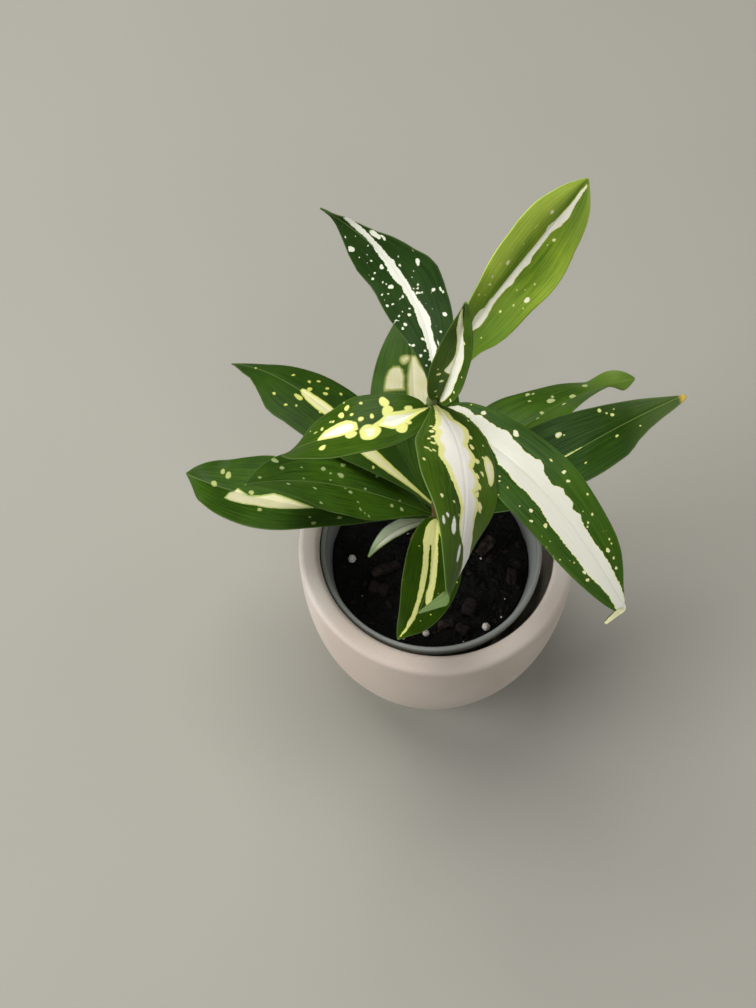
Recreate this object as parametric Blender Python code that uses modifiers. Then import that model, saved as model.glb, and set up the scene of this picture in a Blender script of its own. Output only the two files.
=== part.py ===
# A potted dracaena: a cover pot, the growing pot in it, soil with bark and perlite,
# one upright cane and fourteen leaves in two tiers. Metres, +Z up, origin under the pot's centre.
import math
import random

import bmesh
import bpy
import numpy as np
from mathutils import Matrix, Vector

MM = 0.001
GAP = 0.3 * MM
TURN_STEPS = 40

# Cover pot
POT_RIM_RADIUS = 60 * MM
POT_BASE_RADIUS = 41 * MM
POT_HEIGHT = 90 * MM
POT_WALL = 8.5 * MM
POT_FLOOR = 10 * MM
POT_RIM_ROUND = 2.5 * MM
POT_FOOT_ROUND = 3 * MM
POT_INNER_SPAN = (22 * MM, 74 * MM)
POT_OUTER_SPAN = (76 * MM, 10 * MM)

# Growing pot, standing a little to the left in the cover pot
LINER_SHIFT = -3.5 * MM
LINER_RIM_RADIUS = 47.5 * MM
LINER_BASE_RADIUS = 33 * MM
LINER_BELOW_RIM = 3 * MM
LINER_WALL = 1 * MM
LINER_LIP_DEPTH = 5 * MM
LINER_LIP_PROUD = 1.2 * MM
LINER_LIP_ROUND = 0.4 * MM
LINER_FOOT_CHAMFER = 1.5 * MM
DRAIN_HOLES = 5
DRAIN_HOLE_RADIUS = 3.5 * MM
DRAIN_RING_RADIUS = 22 * MM
DRAIN_CUT_DEPTH = 6 * MM

# Soil
SOIL_TOP = 74 * MM
SOIL_CROWN = 1.5 * MM
SOIL_CROWN_RADIUS = 15 * MM
SOIL_SHOULDER_RADIUS = 30 * MM
SOIL_SHOULDER_SHARE = 0.6
SOIL_EDGE_ROUND = 1 * MM

# Cane: height, then how far right (+X) and back (+Y) its centre stands there
CANE_COURSE = ((44, -9, 8), (77, -9, 8), (118, -1, 0.5), (160, -2, 0), (213, -6, 0))
CANE_RADIUS_LOW = 2.6 * MM
CANE_RADIUS_TOP = 2.0 * MM
CANE_RING_EVERY = 11 * MM
CANE_RING_SWELL = 0.25 * MM
CANE_RING_SHARE = 0.4
CANE_POINTS = 46

# Leaves
LEAF_THICKNESS = 0.7 * MM
LEAF_ROWS = 14
LEAF_ROWS_HOOKED = 22
LEAF_COLUMNS = 4
LEAF_FINE_STEPS = 8
LEAF_BASE_GAP = 0.65 * MM
APEX_REACH = 0.5 * MM
STALK_HALF_WIDTH = 1.0 * MM
TIP_HALF_WIDTH = 0.4 * MM
TAIL_HALF_WIDTH = 0.7 * MM
EDGE_DROOP = 0.12
FOLD_LEFT_AT_TIP = 0.4

# Every leaf: where its base is on the cane (z, mm), the way it points (azimuth from +X towards
# +Y), its rise at the base, its droop to the tip and its turn to the left over its length
# (degrees), length and width (mm), roll, twist and fold (degrees), where it is widest, and how
# sharply it narrows. A bow turns its middle aside and back, and skew widens its left half towards
# the tip. The rest is what its last stretch does: curl (roll), hook (turn), tail (the share of the
# length that is a thin tail), and where that starts and over how much it happens.
LEAVES = {
    "leaf_top_back_left": dict(z=210.3, azimuth=84, rise=17, droop=-15, turn=86, bow=-2, length=86,
                               width=23, skew=0.21, roll=-2, twist=-58, fold=22, widest=0.51,
                               taper=1.43, curl=-58, tail=0.04),
    "leaf_top_back_right": dict(z=205, azimuth=72, rise=24, droop=3, turn=-20, bow=-14, length=100,
                                width=33, skew=0.17, roll=33, twist=24, fold=43, widest=0.64,
                                taper=0.95, curl=-11),
    "leaf_top_young": dict(z=213.7, azimuth=2, rise=79, droop=-13, turn=15, bow=-6, length=61,
                           width=17, skew=-0.04, roll=61, twist=-5, fold=59, widest=0.35, taper=1.07,
                           curl=12),
    "leaf_top_left": dict(z=209.5, azimuth=212, rise=11, droop=71, turn=-39, bow=-4, length=61,
                          width=26, skew=-0.02, roll=-3, twist=32, fold=22, widest=0.44, taper=0.78,
                          curl=23),
    "leaf_top_front": dict(z=212.8, azimuth=296, rise=26, droop=69, turn=-49, bow=-3, length=95,
                           width=36, skew=-0.06, roll=-7, twist=-90, fold=-4, widest=0.48, taper=1.02,
                           curl=-80, hook=-55, tail=0.10, tip_from=0.84, tip_over=0.05),
    "leaf_top_front_right": dict(z=204.0, azimuth=329, rise=8, droop=51, turn=-19, bow=-10, length=109,
                                 width=28, skew=-0.04, roll=-3, twist=-1, fold=15, widest=0.46,
                                 taper=0.69, curl=-41, hook=-71, tail=0.07, tip_from=0.90,
                                 tip_over=0.03),
    "leaf_low_back_left": dict(z=126, azimuth=149, rise=30, droop=66, turn=2, bow=-10, length=112,
                               width=31, skew=0.26, roll=5, twist=11, fold=1, widest=0.54, taper=1.37,
                               curl=17),
    "leaf_low_far_left": dict(z=115, azimuth=182, rise=8, droop=30, turn=-39, bow=6, length=110,
                              width=37, skew=-0.13, roll=10, twist=-11, fold=41, widest=0.62,
                              taper=1.08, curl=-50),
    "leaf_low_left": dict(z=118.5, azimuth=171, rise=29, droop=-7, turn=45, bow=-7, length=89,
                          width=35, skew=-0.03, roll=0, twist=21, fold=20, widest=0.52, taper=1.15,
                          curl=0),
    "leaf_low_front": dict(z=119.5, azimuth=265, rise=15, droop=-8, turn=-34, bow=10, length=68,
                           width=24, skew=-0.04, roll=-17, twist=6, fold=23, widest=0.40, taper=0.85,
                           curl=34),
    "leaf_low_pale_young": dict(z=112, azimuth=197, rise=20, droop=33, turn=40, length=32, width=8,
                                roll=13, twist=12, fold=27, widest=0.44, taper=1.13, curl=0),
    "leaf_low_right": dict(z=122, azimuth=-9, rise=42, droop=18, turn=21, bow=14, length=113, width=35,
                           skew=-0.15, roll=-3, twist=4, fold=36, widest=0.46, taper=1.24, curl=-1),
    "leaf_low_back_right": dict(z=115, azimuth=50, rise=27, droop=44, turn=-30, bow=-2, length=105,
                                width=34, skew=0.02, roll=6, twist=-68, fold=28, widest=0.45,
                                taper=0.87, curl=81),
    "leaf_low_back": dict(z=118.6, azimuth=108, rise=24, droop=8, turn=-26, length=94, width=37,
                          roll=-2, twist=-7, fold=11, widest=0.45, taper=1.21, curl=0),
}
LEAF_DEFAULTS = dict(bow=0, skew=0, hook=0, tail=0, tip_from=0.82, tip_over=0.18)

# Bark and perlite on the soil: x, y (mm), length, width, height (mm), turn (degrees)
BARK_CHIPS = ((-22, -6, 14, 5, 3.5, 25), (-25, -15, 9, 6, 4, -20), (14, -24, 8, 6, 4, 70),
              (4, -32, 8, 5, 3, 10), (11, -34, 6, 5, 3.5, -30), (22, 5, 11, 6, 4, 50),
              (33, -9, 8, 5, 4, 85), (12, 22, 12, 5, 3.5, -15))
CHIP_EDGE = 0.6 * MM
PERLITE_GRAINS = ((-37, -1, 4.6), (-5, -36, 3.8), (21, -33, 4.6), (-20, 24, 3.6))


def clear_scene():
    for obj in list(bpy.data.objects):
        bpy.data.objects.remove(obj, do_unlink=True)


def make_collection(name):
    collection = bpy.data.collections.new(name)
    bpy.context.scene.collection.children.link(collection)
    return collection


def make_material(name, colour, roughness, metallic=0.0):
    material = bpy.data.materials.new(name)
    material.use_nodes = True
    shader = material.node_tree.nodes["Principled BSDF"]
    shader.inputs["Base Color"].default_value = (*colour, 1)
    shader.inputs["Roughness"].default_value = roughness
    shader.inputs["Metallic"].default_value = metallic
    material.diffuse_color = (*colour, 1)
    return material


def add_object(name, mesh, collection, material, smooth=True):
    obj = bpy.data.objects.new(name, mesh)
    collection.objects.link(obj)
    mesh.materials.append(material)
    if smooth:
        mesh.shade_smooth()
    return obj


def rounded(corner, start, end, steps=4):
    """Points of a quarter round that leaves the line at start, turns at corner and ends at end."""
    corner, start, end = Vector(corner), Vector(start), Vector(end)
    centre = start + end - corner
    points = []
    for i in range(steps + 1):
        angle = math.pi / 2 * i / steps
        points.append(tuple(centre + (start - centre) * math.cos(angle) + (end - centre) * math.sin(angle)))
    return points


def turned(name, profile, collection, material, location=(0, 0, 0)):
    """A profile of (radius, height) points, spun about Z. Its outer side runs top to bottom."""
    mesh = bpy.data.meshes.new(name)
    edges = [(i, i + 1) for i in range(len(profile) - 1)]
    mesh.from_pydata([(radius, 0, height) for radius, height in profile], edges, [])
    obj = add_object(name, mesh, collection, material, smooth=False)
    obj.location = location
    screw = obj.modifiers.new("spin", "SCREW")
    screw.steps = screw.render_steps = TURN_STEPS
    screw.use_merge_vertices = True
    screw.merge_threshold = 0.00001
    screw.use_smooth_shade = True
    return obj


def pot_radius(height):
    """The cover pot is nearly upright under its rim and rounds in towards its foot."""
    share = (POT_HEIGHT - height) / POT_HEIGHT
    return POT_RIM_RADIUS - (POT_RIM_RADIUS - POT_BASE_RADIUS) * share ** 3


def cover_pot(collection):
    inner_top = POT_RIM_RADIUS - POT_WALL
    inner_floor = pot_radius(POT_FLOOR) - POT_WALL
    turn = POT_RIM_ROUND
    foot = POT_FOOT_ROUND
    profile = [(0, POT_FLOOR)]
    profile += rounded((inner_floor, POT_FLOOR), (inner_floor - foot, POT_FLOOR),
                       (inner_floor, POT_FLOOR + foot), 3)
    profile += [(pot_radius(z) - POT_WALL, z) for z in np.linspace(*POT_INNER_SPAN, 4)]
    profile += rounded((inner_top, POT_HEIGHT), (inner_top, POT_HEIGHT - turn),
                       (inner_top + turn, POT_HEIGHT), 3)
    profile += rounded((POT_RIM_RADIUS, POT_HEIGHT), (POT_RIM_RADIUS - turn, POT_HEIGHT),
                       (POT_RIM_RADIUS, POT_HEIGHT - turn), 3)
    profile += [(pot_radius(z), z) for z in np.linspace(*POT_OUTER_SPAN, 7)]
    profile += rounded((POT_BASE_RADIUS, 0), (pot_radius(foot), foot), (POT_BASE_RADIUS - foot, 0), 3)
    profile += [(0, 0)]
    material = make_material("pale_stoneware", (0.60, 0.50, 0.43), 0.75)
    return turned("cover_pot", profile, collection, material)


def liner_radius(height):
    """Outer radius of the growing pot's wall, height measured from its own foot."""
    tall = POT_HEIGHT - LINER_BELOW_RIM - POT_FLOOR - GAP
    return LINER_BASE_RADIUS + (LINER_RIM_RADIUS - LINER_LIP_PROUD - LINER_BASE_RADIUS) * height / tall


def nursery_pot(collection, cutters):
    foot = POT_FLOOR + GAP
    tall = POT_HEIGHT - LINER_BELOW_RIM - foot
    lip = tall - LINER_LIP_DEPTH
    wall = LINER_WALL
    edge = LINER_LIP_ROUND
    bevel = LINER_FOOT_CHAMFER
    profile = [(0, wall), (liner_radius(wall) - wall, wall), (liner_radius(tall / 2) - wall, tall / 2),
               (liner_radius(tall) - wall, tall - edge), (liner_radius(tall) - edge, tall),
               (LINER_RIM_RADIUS - edge, tall), (LINER_RIM_RADIUS, tall - edge), (LINER_RIM_RADIUS, lip),
               (liner_radius(lip), lip), (liner_radius(tall / 2), tall / 2), (liner_radius(bevel), bevel),
               (LINER_BASE_RADIUS - bevel, 0), (0, 0)]
    material = make_material("dark_plastic", (0.09, 0.10, 0.11), 0.45)
    pot = turned("nursery_pot", profile, collection, material, (LINER_SHIFT, 0, foot))
    for i in range(DRAIN_HOLES):
        angle = math.tau * i / DRAIN_HOLES
        place = (LINER_SHIFT + DRAIN_RING_RADIUS * math.cos(angle), DRAIN_RING_RADIUS * math.sin(angle),
                 foot + wall / 2)
        cut(pot, round_cutter(f"drain_cutter_{i + 1}", DRAIN_HOLE_RADIUS, DRAIN_CUT_DEPTH, place, cutters))
    return pot


def round_cutter(name, radius, depth, place, cutters):
    """An upright cylinder that only cuts: it is never part of the plant."""
    mesh = bpy.data.meshes.new(name)
    shape = bmesh.new()
    bmesh.ops.create_cone(shape, cap_ends=True, segments=16, radius1=radius, radius2=radius, depth=depth)
    shape.to_mesh(mesh)
    shape.free()
    cutter = bpy.data.objects.new(name, mesh)
    cutters.objects.link(cutter)
    cutter.location = place
    cutter.hide_render = True
    cutter.display_type = "WIRE"
    return cutter


def cut(obj, cutter):
    boolean = obj.modifiers.new(cutter.name, "BOOLEAN")
    boolean.operation = "DIFFERENCE"
    boolean.solver = "EXACT"
    boolean.object = cutter


def soil_radius(height):
    """The soil's outer radius, a hair inside the growing pot's wall."""
    return liner_radius(height - POT_FLOOR - GAP) - LINER_WALL - GAP * 1.1


def potting_soil(collection, cutters):
    foot = POT_FLOOR + GAP + LINER_WALL + GAP
    middle = (foot + SOIL_TOP) / 2
    edge = SOIL_EDGE_ROUND
    heights = (SOIL_TOP - edge, middle, foot)
    profile = [(0, SOIL_TOP + SOIL_CROWN), (SOIL_CROWN_RADIUS, SOIL_TOP + SOIL_CROWN),
               (SOIL_SHOULDER_RADIUS, SOIL_TOP + SOIL_CROWN * SOIL_SHOULDER_SHARE),
               (soil_radius(SOIL_TOP) - edge, SOIL_TOP)]
    profile += [(soil_radius(height), height) for height in heights]
    profile += [(0, foot)]
    material = make_material("dark_soil", (0.020, 0.014, 0.010), 0.95)
    soil = turned("potting_soil", profile, collection, material, (LINER_SHIFT, 0, 0))
    bottom, x, y = CANE_COURSE[0]
    low = bottom * MM - 2 * GAP
    high = SOIL_TOP + SOIL_CROWN + 5 * MM
    radius = CANE_RADIUS_LOW + CANE_RING_SWELL + GAP
    place = (x * MM, y * MM, (low + high) / 2)
    cut(soil, round_cutter("cane_hole_cutter", radius, high - low, place, cutters))
    return soil


def cane_centre(height):
    heights, xs, ys = zip(*CANE_COURSE)
    z = height / MM
    return Vector((np.interp(z, heights, xs), np.interp(z, heights, ys), z)) * MM


def cane_radius(height):
    low, high = CANE_COURSE[0][0] * MM, CANE_COURSE[-1][0] * MM
    share = (height - low) / (high - low)
    return CANE_RADIUS_LOW + (CANE_RADIUS_TOP - CANE_RADIUS_LOW) * share


def cane(collection):
    """The cane has a leaf-scar ring every few millimetres, thicker than the wood between."""
    low, high = CANE_COURSE[0][0] * MM, CANE_COURSE[-1][0] * MM
    curve = bpy.data.curves.new("cane", "CURVE")
    curve.dimensions = "3D"
    curve.bevel_depth = 1.0
    curve.bevel_resolution = 2
    curve.use_fill_caps = True
    spline = curve.splines.new("POLY")
    spline.points.add(CANE_POINTS - 1)
    for i, point in enumerate(spline.points):
        height = low + (high - low) * i / (CANE_POINTS - 1)
        near_ring = abs((height / CANE_RING_EVERY) % 1 - 0.5) * 2
        swell = CANE_RING_SWELL * max(0.0, near_ring - 1 + CANE_RING_SHARE) / CANE_RING_SHARE
        point.co = (*cane_centre(height), 1)
        point.radius = cane_radius(height) + swell
    obj = bpy.data.objects.new("cane", curve)
    collection.objects.link(obj)
    curve.materials.append(make_material("cane_bark", (0.30, 0.24, 0.12), 0.7))
    return obj


def smooth_step(x):
    x = min(max(x, 0.0), 1.0)
    return x * x * (3 - 2 * x)


def leaf_half_width(leaf, s):
    """Half the leaf's width at s, from 0 at the base to 1 at the tip."""
    blade_end = 1 - leaf["tail"]
    u = min(s / blade_end, 1.0)
    widest, taper = leaf["widest"], leaf["taper"]
    rise = taper * widest / (1 - widest)
    blade = leaf["width"] / 2 * MM * (u / widest) ** rise * ((1 - u) / (1 - widest)) ** taper
    tail = TAIL_HALF_WIDTH * min((1 - s) / leaf["tail"], 1.0) if leaf["tail"] else 0
    return blade + TIP_HALF_WIDTH + tail + STALK_HALF_WIDTH * (1 - s) ** 8


def leaf_spine(leaf, rows):
    """Midrib points and the left and up directions at each, walked along the leaf from its base."""
    fine = LEAF_FINE_STEPS
    step = leaf["length"] * MM / (rows * fine)
    base = leaf["z"] * MM
    heading = math.radians(leaf["azimuth"])
    top = CANE_COURSE[-1][0] * MM
    reach = APEX_REACH if base > top else cane_radius(base) + LEAF_BASE_GAP
    centre = cane_centre(min(base, top))
    place = Vector((centre.x + reach * math.cos(heading), centre.y + reach * math.sin(heading), base))
    stations = []
    for i in range(rows * fine + 1):
        s = i / (rows * fine)
        tip = smooth_step((s - leaf["tip_from"]) / leaf["tip_over"])
        bow = leaf["bow"] * 4 * s * (1 - s)
        heading = math.radians(leaf["azimuth"] + leaf["turn"] * s + bow + leaf["hook"] * tip)
        pitch = math.radians(leaf["rise"] - leaf["droop"] * s ** 1.5)
        roll = math.radians(leaf["roll"] + leaf["twist"] * s + leaf["curl"] * tip)
        level = math.cos(pitch)
        along = Vector((level * math.cos(heading), level * math.sin(heading), math.sin(pitch)))
        side = Vector((-math.sin(heading), math.cos(heading), 0))
        up = along.cross(side)
        if i % fine == 0:
            stations.append((s, place.copy(), side * math.cos(roll) + up * math.sin(roll),
                             up * math.cos(roll) - side * math.sin(roll)))
        place = place + along * step
    return stations


def add_leaf(name, leaf, collection, material):
    leaf = {**LEAF_DEFAULTS, **leaf}
    rows = LEAF_ROWS_HOOKED if leaf["hook"] else LEAF_ROWS
    stations = leaf_spine(leaf, rows)
    shape = bmesh.new()
    bmesh.ops.create_grid(shape, x_segments=rows, y_segments=LEAF_COLUMNS, size=1)
    for vert in shape.verts:
        row = round((vert.co.x + 1) / 2 * rows)
        across = vert.co.y
        s, place, side, up = stations[row]
        half = leaf_half_width(leaf, s) * (1 + leaf["skew"] * np.sign(across) * (2 * s - 1))
        fold = math.radians(leaf["fold"] * (1 - (1 - FOLD_LEFT_AT_TIP) * s))
        out = half * across * math.cos(fold)
        lift = half * abs(across) * math.sin(fold) - EDGE_DROOP * half * across ** 2
        vert.co = place + side * out + up * lift
    mesh = bpy.data.meshes.new(name)
    shape.to_mesh(mesh)
    shape.free()
    obj = add_object(name, mesh, collection, material)
    solid = obj.modifiers.new("thickness", "SOLIDIFY")
    solid.thickness = LEAF_THICKNESS
    solid.offset = 0
    return obj


def leaves(collection):
    deep = make_material("leaf_deep_green", (0.035, 0.10, 0.015), 0.4)
    light = make_material("leaf_light_green", (0.16, 0.28, 0.03), 0.4)
    pale = make_material("leaf_pale_green", (0.42, 0.50, 0.30), 0.5)
    special = {"leaf_top_back_right": light, "leaf_low_pale_young": pale}
    for name, leaf in LEAVES.items():
        add_leaf(name, leaf, collection, special.get(name, deep))


def soil_height(x, y):
    """Top of the soil at a place in the pot."""
    radius = math.hypot(x - LINER_SHIFT, y)
    rings = (SOIL_CROWN_RADIUS, SOIL_SHOULDER_RADIUS, soil_radius(SOIL_TOP) - SOIL_EDGE_ROUND)
    return SOIL_TOP + SOIL_CROWN * float(np.interp(radius, rings, (1, SOIL_SHOULDER_SHARE, 0)))


def rest_on_soil(obj, shape, x, y, turn):
    """Turns the loose piece, then lowers it until its underside is a hair above the soil."""
    spin = Matrix.Rotation(math.radians(turn), 3, "Z")
    bmesh.ops.rotate(shape, verts=shape.verts, cent=(0, 0, 0), matrix=spin)
    lift = max(soil_height(x + v.co.x, y + v.co.y) + GAP - v.co.z for v in shape.verts)
    shape.to_mesh(obj.data)
    shape.free()
    obj.location = (x, y, lift)


def bark_chips(collection):
    material = make_material("bark", (0.10, 0.05, 0.03), 0.9)
    for i, (x, y, length, width, height, turn) in enumerate(BARK_CHIPS):
        rng = random.Random(100 + i)
        name = f"bark_chip_{i + 1}"
        shape = bmesh.new()
        bmesh.ops.create_cube(shape, size=1)
        for vert in shape.verts:
            vert.co.x *= length * MM * rng.uniform(0.8, 1.0)
            vert.co.y *= width * MM * rng.uniform(0.7, 1.0)
            vert.co.z *= height * MM * rng.uniform(0.75, 1.0)
        bmesh.ops.bevel(shape, geom=list(shape.edges), offset=CHIP_EDGE, affect="EDGES", segments=1,
                        profile=0.5, material=-1)
        obj = add_object(name, bpy.data.meshes.new(name), collection, material, smooth=False)
        rest_on_soil(obj, shape, x * MM, y * MM, turn)


def perlite_grains(collection):
    material = make_material("perlite", (0.75, 0.72, 0.68), 0.9)
    for i, (x, y, size) in enumerate(PERLITE_GRAINS):
        rng = random.Random(200 + i)
        name = f"perlite_{i + 1}"
        shape = bmesh.new()
        bmesh.ops.create_icosphere(shape, subdivisions=1, radius=size / 2 * MM)
        for vert in shape.verts:
            vert.co *= rng.uniform(0.82, 1.0)
        obj = add_object(name, bpy.data.meshes.new(name), collection, material, smooth=False)
        rest_on_soil(obj, shape, x * MM, y * MM, 0)


def main():
    clear_scene()
    plant = make_collection("potted_dracaena")
    cutters = make_collection("cutters")
    cutters.hide_render = True
    cover_pot(plant)
    nursery_pot(plant, cutters)
    potting_soil(plant, cutters)
    cane(plant)
    leaves(plant)
    bark_chips(plant)
    perlite_grains(plant)


main()
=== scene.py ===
import math
import random

import bmesh
import bpy
import numpy as np
from mathutils import Matrix, Vector, noise


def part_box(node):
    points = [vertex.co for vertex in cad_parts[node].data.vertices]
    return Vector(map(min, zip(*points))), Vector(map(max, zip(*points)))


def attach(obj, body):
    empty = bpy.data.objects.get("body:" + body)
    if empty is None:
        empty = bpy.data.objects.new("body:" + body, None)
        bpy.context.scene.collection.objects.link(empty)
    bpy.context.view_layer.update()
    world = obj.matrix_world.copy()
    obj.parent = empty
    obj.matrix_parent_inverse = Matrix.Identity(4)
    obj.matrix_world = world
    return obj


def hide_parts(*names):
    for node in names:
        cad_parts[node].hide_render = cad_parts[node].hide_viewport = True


# The looks of a potted dracaena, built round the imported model. Metres, +Z up; lengths in the
# dictionaries are millimetres and angles degrees, unless a note says otherwise.
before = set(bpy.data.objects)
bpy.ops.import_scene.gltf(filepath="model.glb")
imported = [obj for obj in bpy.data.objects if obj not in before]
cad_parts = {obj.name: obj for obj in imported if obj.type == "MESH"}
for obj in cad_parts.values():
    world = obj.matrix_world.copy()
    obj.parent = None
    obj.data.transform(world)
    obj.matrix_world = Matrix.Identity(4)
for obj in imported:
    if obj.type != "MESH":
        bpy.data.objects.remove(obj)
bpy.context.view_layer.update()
mm = 0.001


def tint(red, green, blue):  # a colour as seen, 0 to 255, made linear
    values = [c / 255 for c in (red, green, blue)]
    return tuple(c / 12.92 if c < 0.04045 else ((c + 0.055) / 1.055) ** 2.4 for c in values) + (1,)


class Wire:  # one socket in a material; sums on it add the Math nodes
    def __init__(self, paint, socket):
        self.paint = paint
        self.socket = socket

    def __add__(self, other):
        return self.paint.maths("ADD", self, other)

    def __sub__(self, other):
        return self.paint.maths("SUBTRACT", self, other)

    def __rsub__(self, other):
        return self.paint.maths("SUBTRACT", other, self)

    def __mul__(self, other):
        return self.paint.maths("MULTIPLY", self, other)

    __radd__ = __add__
    __rmul__ = __mul__


class Paint:  # a Principled material under construction
    def __init__(self, name, **fixed):
        self.material = bpy.data.materials.new(name)
        self.material.use_nodes = True
        self.tree = self.material.node_tree
        self.shader = self.tree.nodes["Principled BSDF"]
        for socket, value in fixed.items():
            self.shader.inputs[socket.replace("_", " ")].default_value = value

    def node(self, kind, settings=None, sockets=None, out=0):
        node = self.tree.nodes.new(kind)
        for key, value in (settings or {}).items():
            setattr(node, key, value)
        for key, value in (sockets or {}).items():
            if isinstance(value, Wire):
                self.tree.links.new(value.socket, node.inputs[key])
            else:
                node.inputs[key].default_value = value
        return Wire(self, node.outputs[out])

    def maths(self, operation, *values):
        return self.node("ShaderNodeMath", {"operation": operation}, dict(enumerate(values)))

    def ease(self, value, low, high):  # 0 at low, 1 at high, eased between
        ends = {"Value": value, "From Min": low, "From Max": high}
        return self.node("ShaderNodeMapRange", {"interpolation_type": "SMOOTHSTEP"}, ends)

    def mix(self, share, first, second):  # colours
        return self.node("ShaderNodeMix", {"data_type": "RGBA"}, {0: share, 6: first, 7: second}, 2)

    def place(self):
        return self.node("ShaderNodeTexCoord", out="Object")

    def part(self, vector, axis):  # X, Y or Z of a vector
        return self.node("ShaderNodeSeparateXYZ", {}, {"Vector": vector}, axis)

    def chart(self):  # on a leaf: share of its length, and share of its half width, + on the left
        chart = self.node("ShaderNodeUVMap", {"uv_map": "leaf"})
        return self.part(chart, "X"), self.part(chart, "Y") * 2 - 1

    def lines(self, s, v, seed=0.0):  # where to read noise that is drawn out along a leaf
        return self.node("ShaderNodeCombineXYZ", {}, {"X": s, "Y": v + seed, "Z": seed})

    def cloud(self, where, scale, detail=3.0, roughness=0.55):  # soft noise, about 0.3 to 0.7
        sockets = {"Vector": where, "Scale": scale, "Detail": detail, "Roughness": roughness}
        return self.node("ShaderNodeTexNoise", {}, sockets, "Fac")

    def cells(self, where, scale):  # the distance to the nearest of scattered points, in cells
        return self.node("ShaderNodeTexVoronoi", {}, {"Vector": where, "Scale": scale})

    def held(self, name):  # a number kept on the mesh's points
        return self.node("ShaderNodeAttribute", {"attribute_name": name}, out="Fac")

    def finish(self, colour, roughness=None, height=None, strength=0.5, depth=0.001):
        self.tree.links.new(colour.socket, self.shader.inputs["Base Color"])
        if roughness is not None:
            self.tree.links.new(roughness.socket, self.shader.inputs["Roughness"])
        if height is not None:
            bump = {"Height": height, "Strength": strength, "Distance": depth}
            normal = self.node("ShaderNodeBump", {}, bump)
            self.tree.links.new(normal.socket, self.shader.inputs["Normal"])
        return self.material


def meshOf(name, shape):  # the finished mesh; the bmesh is freed
    mesh = bpy.data.meshes.new(name)
    shape.to_mesh(mesh)
    shape.free()
    return mesh


def placed(name, data):  # a new object in the scene
    item = bpy.data.objects.new(name, data)
    bpy.context.scene.collection.objects.link(item)
    return item


def addPiece(name, shape, materials, node=None, smooth=True):
    mesh = meshOf(name, shape)
    for material in materials:
        mesh.materials.append(material)
    if smooth:
        mesh.shade_smooth()
    piece = placed(name, mesh)
    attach(piece, "root")
    if node:
        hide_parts(node)
    return piece


def eased(x):
    x = np.clip(x, 0, 1)
    return x * x * (3 - 2 * x)


def ripple(point, scale, seed=0.0):  # smooth noise, -1 to 1
    return noise.noise(Vector(point) * scale + Vector((seed, 7.3 * seed, -3.1 * seed)))


# Cover pot
pot = {
    "rimRadius": 60,
    "footRadius": 41,
    "height": 90,
    "wall": 9.0,
    "floor": 10,
    "rimRound": 2.5,
    "footRound": 3,
    "lean": 3,  # the inner wall leans in by this much between these heights
    "leanFrom": 80,
    "leanTo": 64,
    "uneven": 0.25,
    "turns": 160,
    "colour": tint(210, 197, 186),
    "warmPatch": tint(202, 187, 175),
    "palePatch": tint(218, 208, 199),
    "speck": tint(160, 138, 122),
    # painted light: the inside colour makes the inner wall paler than the stoneware outside
    "inside": tint(238, 230, 214),
}


def potRadius(z):  # outer wall, z in mm
    down = (pot["height"] - z) / pot["height"]
    return pot["rimRadius"] - (pot["rimRadius"] - pot["footRadius"]) * down ** 3


def innerRadius(z):  # the inner wall leans in below the rim
    lean = pot["lean"] * float(eased((pot["leanFrom"] - z) / (pot["leanFrom"] - pot["leanTo"])))
    return potRadius(z) - pot["wall"] - lean


def roundCorner(corner, start, end, steps=5):  # an arc that rounds a corner of an outline
    corner, start, end = Vector(corner), Vector(start), Vector(end)
    middle = start + end - corner
    points = []
    for i in range(steps + 1):
        angle = math.pi / 2 * i / steps
        points.append(middle + (corner - end) * math.cos(angle) + (corner - start) * math.sin(angle))
    return points


def turned(outline, turns, centre=(0, 0, 0)):  # outline: (radius, height) in mm, both ends on the axis
    shape = bmesh.new()
    verts = [shape.verts.new((r * mm, 0, z * mm)) for r, z in outline]
    edges = [shape.edges.new(pair) for pair in zip(verts, verts[1:])]
    bmesh.ops.spin(shape, geom=verts + edges, axis=(0, 0, 1), cent=(0, 0, 0), angle=2 * math.pi,
                   steps=turns, use_merge=True)
    bmesh.ops.remove_doubles(shape, verts=shape.verts, dist=0.00001)
    bmesh.ops.recalc_face_normals(shape, faces=shape.faces)
    bmesh.ops.translate(shape, verts=shape.verts, vec=centre)
    return shape


def potStoneware():
    paint = Paint("pale stoneware", Specular_IOR_Level=0.4)
    where = paint.place()
    broad = paint.ease(paint.cloud(where, 14, 2), 0.36, 0.64)
    fine = paint.cloud(where, 900, 4, 0.7)
    colour = paint.mix(broad, pot["warmPatch"], pot["palePatch"])
    colour = paint.mix(paint.ease(fine, 0.3, 0.75) * 0.6, colour, pot["colour"])
    speckRoom = paint.ease(paint.cells(where, 420), 0.13, 0.07)
    speckShare = paint.ease(paint.cloud(where, 160, 1), 0.52, 0.62)
    colour = paint.mix(speckRoom * speckShare * 0.55, colour, pot["speck"])
    z = paint.part(where, "Z")
    level = paint.node("ShaderNodeVectorMath", {"operation": "MULTIPLY"}, {0: where, 1: (1, 1, 0)})
    away = paint.node("ShaderNodeVectorMath", {"operation": "LENGTH"}, {0: level}, "Value")
    below = paint.ease(z, (pot["height"] - 1) * mm, (pot["height"] - 6) * mm)
    within = paint.ease(away - z * 0.1, 0.0455, 0.0435)  # nearer the axis than the middle of the wall
    # painted light: the inner wall, from 6 mm below the rim down, turns to the paler inside colour
    colour = paint.mix(below * within * 0.8, colour, pot["inside"])
    wander = paint.cloud(where, 30, 2) * 0.004
    rings = paint.maths("SINE", (z + wander) * 3200)  # throwing rings, about 2 mm apart
    height = rings * 0.05 + fine * 0.5 + paint.cloud(where, 90, 2) * 0.8
    rough = 0.56 + paint.cloud(where, 240, 2) * 0.16
    return paint.finish(colour, rough, height, 0.35, 0.0004)


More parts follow.
